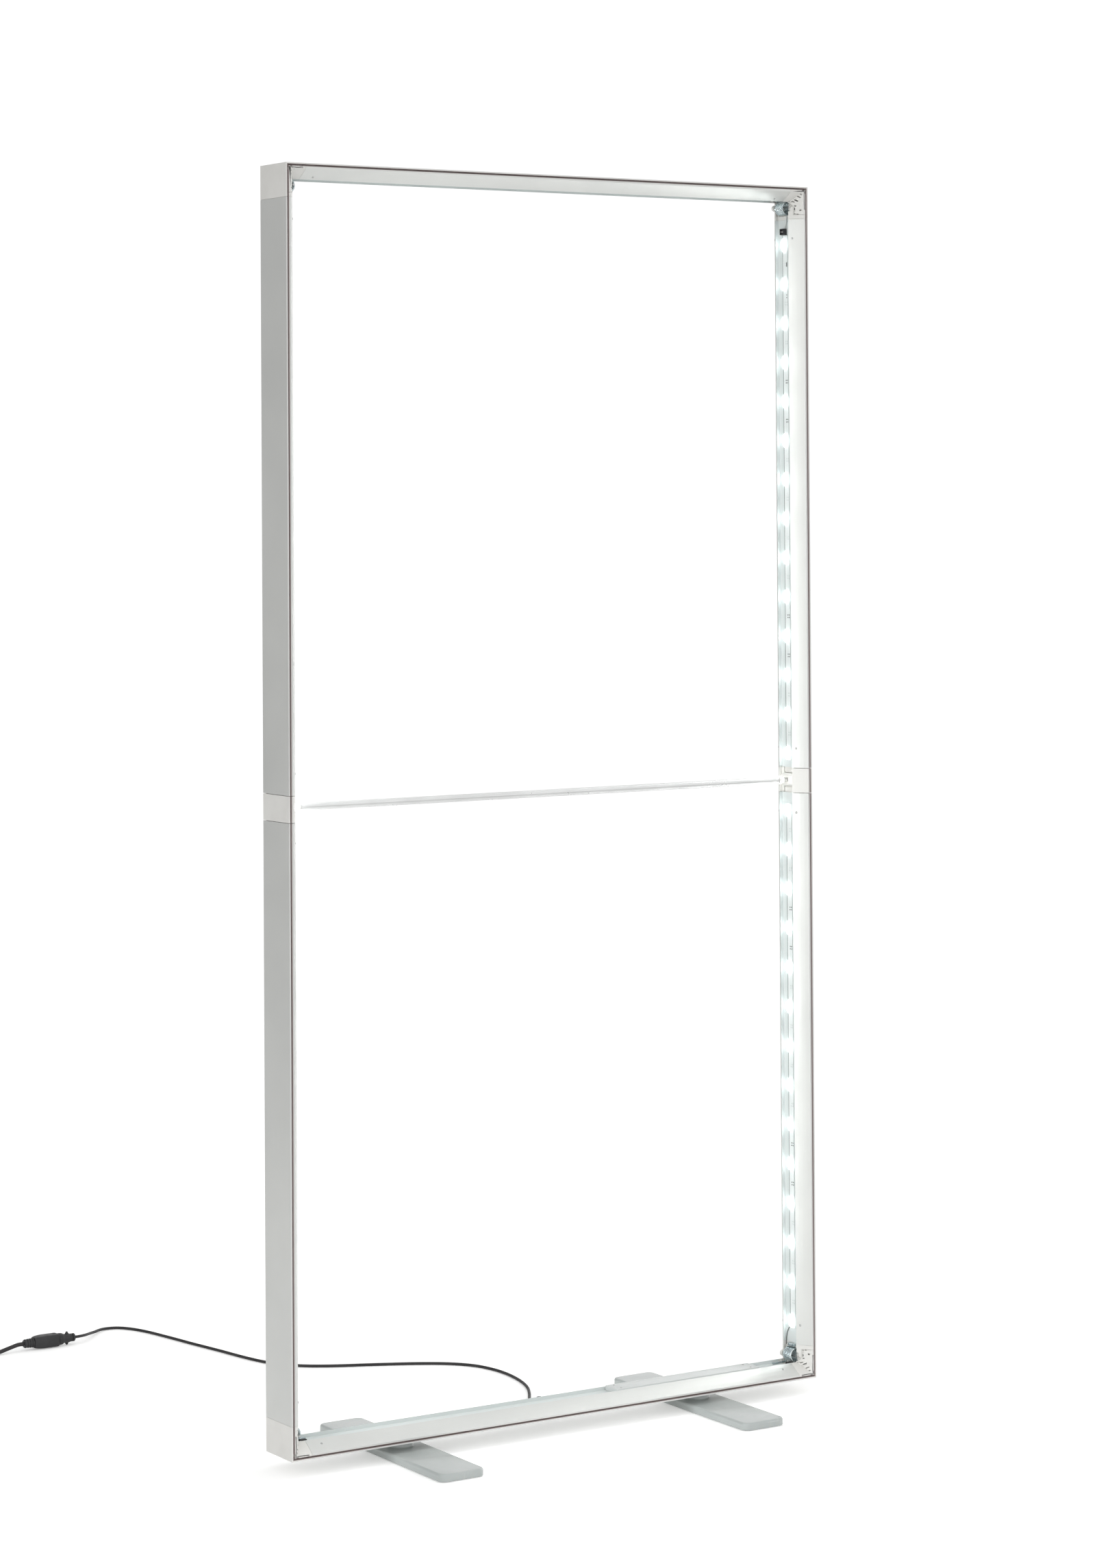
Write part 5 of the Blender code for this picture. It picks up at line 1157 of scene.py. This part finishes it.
def makeCrossBar(shape):
    end, r = shape["end"], shape["radius"]
    height = section["middle"]
    alongX = alongAxis((0, 0, height), (1, 0, 0))
    tube = turnPiece("crossTube", "satinTube", [
        (-end, r - 0.0012), (-end, r - 0.0004), (-end + 0.0004, r), (end - 0.0004, r), (end, r - 0.0004),
        (end, r - 0.0012), (end - shape["reach"] - 0.032, r - 0.0012)], 40)
    settle(putAt(tube, alongX), "middle_frame", "cross_bar")
    wide, far = shape["sleeveRadius"], end + shape["sleeveLength"]
    sleeve = turnPiece("crossSleeve", "mouldedGrey", [
        (-shape["pegEnd"], shape["pegRadius"] - 0.0006), (-shape["pegEnd"] + 0.0006, shape["pegRadius"]),
        (-far, shape["pegRadius"]), (-far, wide - 0.0005), (-far + 0.0005, wide), (-end - 0.0043, wide),
        (-end - 0.0041, wide - 0.0003), (-end - 0.0033, wide - 0.0003), (-end - 0.0031, wide),
        (-end - 0.0008, wide), (-end - 0.0003, wide - 0.0005), (-end - 0.0003, r - 0.0015)], 40)
    settle(putAt(sleeve, alongX), "middle_frame", "cross_bar_sleeve")
    wide, far, bore = shape["ferruleRadius"], end + shape["ferruleLength"], shape["pegRadius"] + 0.0003
    ferrule = turnPiece("crossFerrule", "mouldedGrey", [
        (end + 0.0003, r - 0.0015), (end + 0.0003, wide - 0.0005), (end + 0.0008, wide), (end + 0.0019, wide),
        (end + 0.0021, wide - 0.0003), (end + 0.0028, wide - 0.0003), (end + 0.0030, wide), (far - 0.0005, wide),
        (far, wide - 0.0005), (far, bore), (end + 0.0006, bore)], 40)
    settle(putAt(ferrule, alongX), "middle_frame", "cross_bar_ferrule")
    pegEnd, peg = shape["pegEnd"], shape["pegRadius"]
    start = shape["plungerInner"]
    plunger = turnPiece("crossPlunger", "plainSteel", [
        (start, shape["plungerHead"] - 0.0004), (start + 0.0004, shape["plungerHead"]),
        (start + 0.0026, shape["plungerHead"]), (start + 0.0030, peg), (pegEnd - 0.0022, peg),
        (pegEnd - 0.0008, peg - 0.0005), (pegEnd, peg - 0.0014)], 40)
    settle(putAt(plunger, alongX), "plunger", "cross_bar_plunger")
    count = shape["springTurns"] * 24
    first = start - 0.0006 - shape["springLength"] + 0.0011
    run = shape["springLength"] - 2 * shape["springWire"]
    line = [(first + run * i / count, shape["springRadius"] * math.cos(i * math.pi / 12),
             height + shape["springRadius"] * math.sin(i * math.pi / 12)) for i in range(count + 1)]
    coil = tubeMesh("plungerSpring", "zincSpring", line, [shape["springWire"] / 2] * len(line), 1)
    settle(coil, "middle_frame", "plunger_spring")


makeCrossBar(crossBar)

# Light strips: a two-part board with fourteen moulded lenses, small parts between them
lightStrip = {
    "count": 14, "pitch": 0.0661, "tail": 0.0115, "width": 0.018, "thickness": 0.0012,
    "seam": 0.0044, "seamWidth": 0.0016,  # the seam behind the middle holds a dark strip of painted shade
    "lensLength": 0.0225, "lensWidth": 0.0170, "lensHeight": 0.0042, "seat": 0.0008,
    "rows": {-1: (0.0115, 0.0891), 1: (0.0167, 0.0962)},
    "darkGaps": (3, 4, 9, 10), "dotPlaces": (0.0036, 0.0074), "dotStep": 0.0021,
}
stripConnector = {
    "length": 0.0105, "width": 0.0104, "shift": 0.0012, "height": 0.0075, "wall": 0.0012, "pins": 2,
    "mouth": 0.0795,  # how far its far end stands from the top or bottom face
}


def channelMatrix(at, b):
    # local Z rises from the channel's floor, local Y runs away from the corner
    inward, away = Vector((-at.side, 0, 0)), Vector((0, 0, -at.level))
    across = away.cross(inward)
    spot = cornerPoint(at.side, at.level, section["floor"] + section["gap"], b, 0)
    return Matrix((
        (across.x, away.x, inward.x, spot.x), (across.y, away.y, inward.y, spot.y),
        (across.z, away.z, inward.z, spot.z), (0, 0, 0, 1)))


def makeLens(shape):
    selectNothing()
    bpy.ops.mesh.primitive_uv_sphere_add(segments=28, ring_count=14, radius=1)
    lens = namePiece(bpy.context.object, "lens", "lensGlow")
    openMesh(lens)
    pickAll()
    bpy.ops.mesh.bisect(plane_co=(0, 0, 0), plane_no=(0, 0, 1), clear_inner=True, use_fill=True)
    closeMesh()
    lens.scale = (shape["lensWidth"] / 2 * 0.93, shape["lensLength"] / 2 * 0.95, shape["lensHeight"] - shape["seat"])
    lens.location.z = shape["thickness"] + shape["seat"]
    bakePlace()
    smoothPiece(lens, 50)
    seat = turnPiece("lensSeat", "lensGlow", [
        (0, 1.0), (shape["seat"] * 0.7, 1.0), (shape["seat"], 0.96)], 28)
    seat.scale = (shape["lensWidth"] / 2, shape["lensLength"] / 2, 1)
    seat.location.z = shape["thickness"] - 0.0001
    bakePlace()
    return joinPieces("lens", [lens, seat])


def makeStrip(shape, lens, at):
    name, node = at.post + "Strip", at.postNode + "_led_strip"
    head, first = shape["rows"][at.level]
    front = -at.side * at.level  # local X sign of the face that looks to the front
    run = shape["pitch"] * (shape["count"] - 1)
    low, high, half = -head, run + shape["tail"], shape["width"] / 2
    top = shape["thickness"]
    matrix = channelMatrix(at, first)
    seam, seamHalf = -front * shape["seam"], shape["seamWidth"] / 2
    white = blockPiece(name + "Front", "boardWhite", (front * half, low, 0), (seam + front * seamHalf, high, top))
    plate = blockPiece(name + "Back", "boardPlate", (-front * half, low, 0),
                       (seam - front * seamHalf, high, top - 0.0003))
    for slab in (white, plate):
        bevelPiece(slab, 0.0002, 1)
    # painted shade: a dark strip set low in the seam, for the shade in the gap between the two halves
    line = blockPiece(name + "Line", "boardLine", (seam - seamHalf - 0.0002, low + 0.0005, 0.0001),
                      (seam + seamHalf + 0.0002, high - 0.0005, top - 0.0005))
    small = []

    def addDot(finish, steps, x, y):
        dot = turnPiece("solderDot", finish, steps, 12)
        small.append(putAt(dot, Matrix.Translation((front * x, y, top - 0.0002))))

    for gap in range(shape["count"] - 1):
        middle = shape["pitch"] * (gap + 0.5)
        # four solder points near the front edge
        finish = "boardLine" if gap in shape["darkGaps"] else "boardPlate"
        for place in shape["dotPlaces"]:
            for way in (-1, 1):
                addDot(finish, [(0, 0.0011), (0.0005, 0.0010), (0.0008, 0.0005)], place,
                       middle + way * shape["dotStep"])
    if at.level > 0:
        x, y = front * 0.0075, shape["pitch"] / 2
        small.append(blockPiece("clip", "boardLine", (x - 0.0008, y - 0.0036, top - 0.0002),
                                (x + 0.0008, y + 0.0036, top + 0.0008), 0.0002, 1))
        for place in (1.28, 1.35):
            addDot("boardLine", [(0, 0.0010), (0.0005, 0.0009)], 0.0068, shape["pitch"] * place)
    board = joinPieces(name + "Board", [white, plate, line] + small)
    settle(putAt(board, matrix), at.arm, node)
    lenses = [copyPiece(lens, name + "Lens", Matrix.Translation((0, shape["pitch"] * k, 0)))
              for k in range(shape["count"])]
    settle(putAt(joinPieces(name + "Lenses", lenses), matrix), at.arm, node)


def makeStripConnector(shape, at):
    name = at.post + "StripConnector"
    half, length, high, wall = shape["width"] / 2, shape["length"], shape["height"], shape["wall"]
    shell = blockPiece(name, "blackPlastic", (-half, 0, 0), (half, length, high))
    openMesh(shell)
    pick(shell, 'FACE', lambda face: face.normal.z > 0.9)  # open mouth on top
    bpy.ops.mesh.inset(thickness=wall)
    pushOut(0, 0, -high * 0.45)
    closeMesh()
    bevelPiece(shell, 0.00025, 2)
    parts = [smoothPiece(shell)]
    for way in (-1, 1):  # latching ribs on both sides
        parts.append(blockPiece("latch", "blackPlastic", (way * (half - 0.0002), length * 0.3, high * 0.2),
                                (way * (half + 0.0004), length * 0.7, high * 0.75), 0.0002, 1))
    for k in range(shape["pins"]):
        x = (k - (shape["pins"] - 1) / 2) * 0.0042
        parts.append(blockPiece("pin", "plainSteel", (x - 0.0005, length * 0.35, high * 0.3),
                                (x + 0.0005, length * 0.65, high * 0.88), 0.0002, 1))
    connector = joinPieces(name, parts)
    start = shape["mouth"] - section["gap"] - length
    settle(putAt(connector, Matrix.Translation((0, -shape["shift"], 0)) @ channelMatrix(at, start)), at.arm,
           at.postNode + "_led_connector")


lensPattern = makeLens(lightStrip)
for at in corners:
    makeStrip(lightStrip, lensPattern, at)
    if at.level > 0:
        makeStripConnector(stripConnector, at)
bpy.data.objects.remove(lensPattern)
print("light strips made")

# Supply in the bottom bar: case with a lid panel and screws
supply = {
    "start": 0.115, "end": 0.400, "width": 0.0345, "low": 0.0433, "height": 0.0075, "edge": 0.0009,
    "lid": 0.0030, "lidStep": 0.0006, "lidRise": 0.0005,
    "screws": [(x, y) for x in (0.128, 0.387) for y in (0.011, -0.011)],
}


def makeSupply(shape):
    half, top = shape["width"] / 2, shape["low"] + shape["height"]
    case = blockPiece("supplyCase", "caseWhite", (shape["start"], -half, shape["low"]), (shape["end"], half, top))
    openMesh(case)
    pick(case, 'FACE', lambda face: face.normal.z > 0.9)
    bpy.ops.mesh.inset(thickness=shape["lid"])
    pushOut(0, 0, -shape["lidStep"])
    bpy.ops.mesh.inset(thickness=shape["lidStep"])
    pushOut(0, 0, shape["lidRise"])
    closeMesh()
    bevelPiece(case, shape["edge"], 3, 60)
    parts = [smoothPiece(case)]
    for x, y in shape["screws"]:
        parts.append(putAt(crossScrew(), Matrix.Translation((x, y, top - 0.0006))))
    settle(joinPieces("supplyCase", parts), "base", "led_driver")


screwShape = {"radius": 0.0021, "height": 0.0011, "slot": 0.0006, "slotReach": 0.0013, "slotDepth": 0.0007}


def crossScrew(shape=screwShape):
    r, h = shape["radius"], shape["height"]
    head = turnPiece("screwHead", "plainSteel", [
        (-0.0004, r), (h * 0.35, r), (h * 0.75, r * 0.86), (h, r * 0.62)], 24)
    long, thin, low = shape["slotReach"], shape["slot"] / 2, h - shape["slotDepth"]
    for x, y in ((thin, long), (long, thin)):
        carve(head, blockPiece("screwSlot", "plainSteel", (-x, -y, low), (x, y, h + 0.001)), 'EXACT')
    return smoothPiece(head, 30)


makeSupply(supply)

# Feet: a flat plate with round corners and soft edges, and a boss that meets the bar
foot = {
    "x": 0.2845, "halfLength": 0.195, "halfWidth": 0.040, "base": 0.0010, "top": 0.0130, "corner": 0.012,
    "edge": 0.0036, "underEdge": 0.0012, "bossRadius": 0.0200, "bossTop": 0.0247,
}


def makeFoot(shape, sideName, side):
    low = (-shape["halfWidth"], -shape["halfLength"], shape["base"])
    high = (shape["halfWidth"], shape["halfLength"], shape["top"])
    plate = blockPiece(sideName + "Foot", "footPaint", low, high)
    openMesh(plate)
    pick(plate, 'EDGE', lambda edge: abs(edge.verts[0].co.z - edge.verts[1].co.z) > 0.005)
    bpy.ops.mesh.bevel(offset=shape["corner"], segments=10, affect='EDGES')
    for height, up, width, steps in ((shape["top"], 1, shape["edge"], 6), (shape["base"], -1, shape["underEdge"], 3)):
        pick(plate, 'EDGE', lambda edge: all(abs(v.co.z - height) < 0.0001 for v in edge.verts)
             and len({face.normal.z * up > 0.5 for face in edge.link_faces}) == 2)
        bpy.ops.mesh.bevel(offset=width, segments=steps, affect='EDGES')
    closeMesh()
    smoothPiece(plate, 40)
    top, r, bossTop = shape["top"], shape["bossRadius"], shape["bossTop"]
    boss = turnPiece("footBoss", "footPaint", [
        (top - 0.001, r + 0.0022), (top, r + 0.0022), (top + 0.0006, r + 0.0008), (top + 0.0022, r),
        (bossTop - 0.0006, r), (bossTop, r - 0.0006)], 48)
    piece = joinPieces(sideName + "Foot", [plate, boss])
    settle(putAt(piece, Matrix.Translation((side * shape["x"], 0, 0))), sideName + "_foot_swivelling",
           sideName + "_foot")


for sideName, side in sides:
    makeFoot(foot, sideName, side)
print("feet made")

# Screws in the cheeks of the bars, front and back
cheekScrews = {
    "upright": ((0.0200, 0.0862), (0.0200, 0.9460)), "bottom": (0.0177, 0.4405), "top": (0.0200, 0.4430),
}


def cheekMatrix(spot, inward, face):
    # a screw stands square on the sloping cheek
    out = cheekRun()[1]
    way = Vector(inward) * out.x + Vector((0, face, 0)) * out.y
    return alongAxis(spot, way, 0.4)


def placeScrews(shape):
    pattern = crossScrew()

    def screwRow(name, body, places, inward, level):
        heads = [copyPiece(pattern, "screw", cheekMatrix(
            cornerPoint(side, level, a, b, face * (cheekDepth(min(a, b)) + 0.0004)), inward, face))
            for side, a, b in places for face in (-1, 1)]
        settle(joinPieces(name, heads), body)

    for at in corners:
        screwRow(at.post + "Screws", at.arm, [(at.side, a, b) for a, b in shape["upright"]],
                 (-at.side, 0, 0), at.level)
        if at.side > 0:
            b, x = shape[at.rail]
            screwRow(at.rail + "BarScrews", at.carrier, [(side, section["halfWidth"] - x, b) for side in (-1, 1)],
                     (0, 0, -at.level), at.level)
    bpy.data.objects.remove(pattern)


placeScrews(cheekScrews)
print("screws placed")

# Finishes of the parts that keep their own shape
finishOf = (
    ("hinge_pin", "plainSteel"), ("hinge_end", "mouldedGrey"), ("corner", "mouldedGrey"),
    ("arm_tip", "mouldedGrey"), ("upright", "silverPaint"), ("rail", "silverPaint"), ("foot_bolt", "plainSteel"),
    ("pad", "blackRubber"), ("foot", "footPaint"), ("grommet", "blackRubber"), ("led", "caseWhite"),
    ("connector", "mouldedGrey"), ("cross_bar", "satinTube"), ("spring", "zincSpring"), ("lead", "blackPlastic"),
    ("mains", "blackPlastic"),
)
for name, node in nodes.items():
    node.data.materials.clear()
    node.data.materials.append(made[next(finish for part, finish in finishOf if part in name)])
print("finishes given")

# Pale floor and soft studio light
studio = {
    "floorSize": 120.0, "world": 1.12, "overheadLess": 0.30,
    "dimSide": {"way": (-0.47, 0.88, 0.0), "from": 0.25, "to": 0.90, "by": -0.68},
    "brightSide": {"way": (-0.975, -0.22, 0.0), "from": 0.70, "to": 0.97, "by": 0.42},
    "bounceNear": 1.4, "bounceFar": 5.0, "bounceLeft": 0.40, "floorGlow": 0.34, "floorLift": 0.10,
    "insideLight": 1.9, "insideReach": 1.80, "insideSpread": 110.0,
}


def makeFloor():
    selectNothing()
    bpy.ops.mesh.primitive_plane_add(size=studio["floorSize"], location=(0, 0, 0))
    floor = bpy.context.object
    bakePlace()
    floor.name = floor.data.name = "studioFloor"
    material, tree, shader = startMaterial("paleFloor")
    place = objectPlace(tree)
    tone = spread(tree, noise(tree, place, 1.5, 3.0), 0.3, 0.7, 0.0, 1.0)
    paper = blendColour(tree, tone, colour(0.925, 0.925, 0.92), colour(0.94, 0.94, 0.938))
    # the far floor throws little light back, as if the white sheet ended there
    far = tree.nodes.new("ShaderNodeVectorMath")
    far.operation = 'LENGTH'
    feed(tree, far.inputs[0], place)
    seen = tree.nodes.new("ShaderNodeLightPath").outputs["Is Camera Ray"]
    fade = spread(tree, far.outputs["Value"], studio["bounceNear"], studio["bounceFar"], 1.0, studio["bounceLeft"])
    thrown = calc(tree, 'MAXIMUM', fade, seen)
    feed(tree, shader.inputs["Base Color"], blendColour(tree, thrown, colour(0.02, 0.02, 0.02), paper))
    feed(tree, shader.inputs["Roughness"], spread(tree, tone, 0.0, 1.0, 0.75, 0.85))
    shader.inputs["Specular IOR Level"].default_value = 0.1
    feed(tree, shader.inputs["Emission Color"], paper)
    feed(tree, shader.inputs["Emission Strength"],
         spread(tree, seen, 0.0, 1.0, studio["floorLift"], studio["floorGlow"]))
    floor.data.materials.append(material)


def softLight(name, spot, width, height, power):
    data = bpy.data.lights.new(name, 'AREA')
    data.shape = 'RECTANGLE'
    data.size, data.size_y, data.energy = width, height, power
    lamp = addObject(name, data)
    lamp.location = spot
    lamp.visible_camera = False
    return lamp


def makeStudio():
    makeFloor()
    world = bpy.data.worlds.new("studioWorld")
    bpy.context.scene.world = world
    world.use_nodes = True
    tree = world.node_tree
    background = tree.nodes["Background"]
    background.inputs["Color"].default_value = (1, 1, 1, 1)
    # even light all round: less overhead, one dim side behind on the left, one bright side in front of it
    way = tree.nodes.new("ShaderNodeTexCoord").outputs["Generated"]
    light = spread(tree, axes(tree, way)[2], 0.2, 0.85, studio["world"], studio["world"] - studio["overheadLess"])
    for side in (studio["dimSide"], studio["brightSide"]):
        facing = tree.nodes.new("ShaderNodeVectorMath")
        facing.operation = 'DOT_PRODUCT'
        feed(tree, facing.inputs[0], way)
        facing.inputs[1].default_value = side["way"]
        light = calc(tree, 'ADD', light, spread(
            tree, facing.outputs["Value"], side["from"], side["to"], 0.0, side["by"]))
    seen = tree.nodes.new("ShaderNodeLightPath").outputs["Is Camera Ray"]
    tree.links.new(calc(tree, 'MAXIMUM', times(tree, seen, 1.06), light), background.inputs["Strength"])
    for sideName, side in sides:
        lamp = softLight(sideName + "InsideLight", (side * 0.470, 0, section["middle"]),
                         studio["insideReach"], 0.02, studio["insideLight"])
        lamp.rotation_euler = (Matrix(((0, 0, side), (0, 1, 0), (-side, 0, 0)))).to_euler()
        lamp.data.color = (0.975, 1.0, 0.995)
        lamp.data.spread = math.radians(studio["insideSpread"])
    bpy.context.scene.view_settings.view_transform = 'Standard'


makeStudio()
print("studio ready")
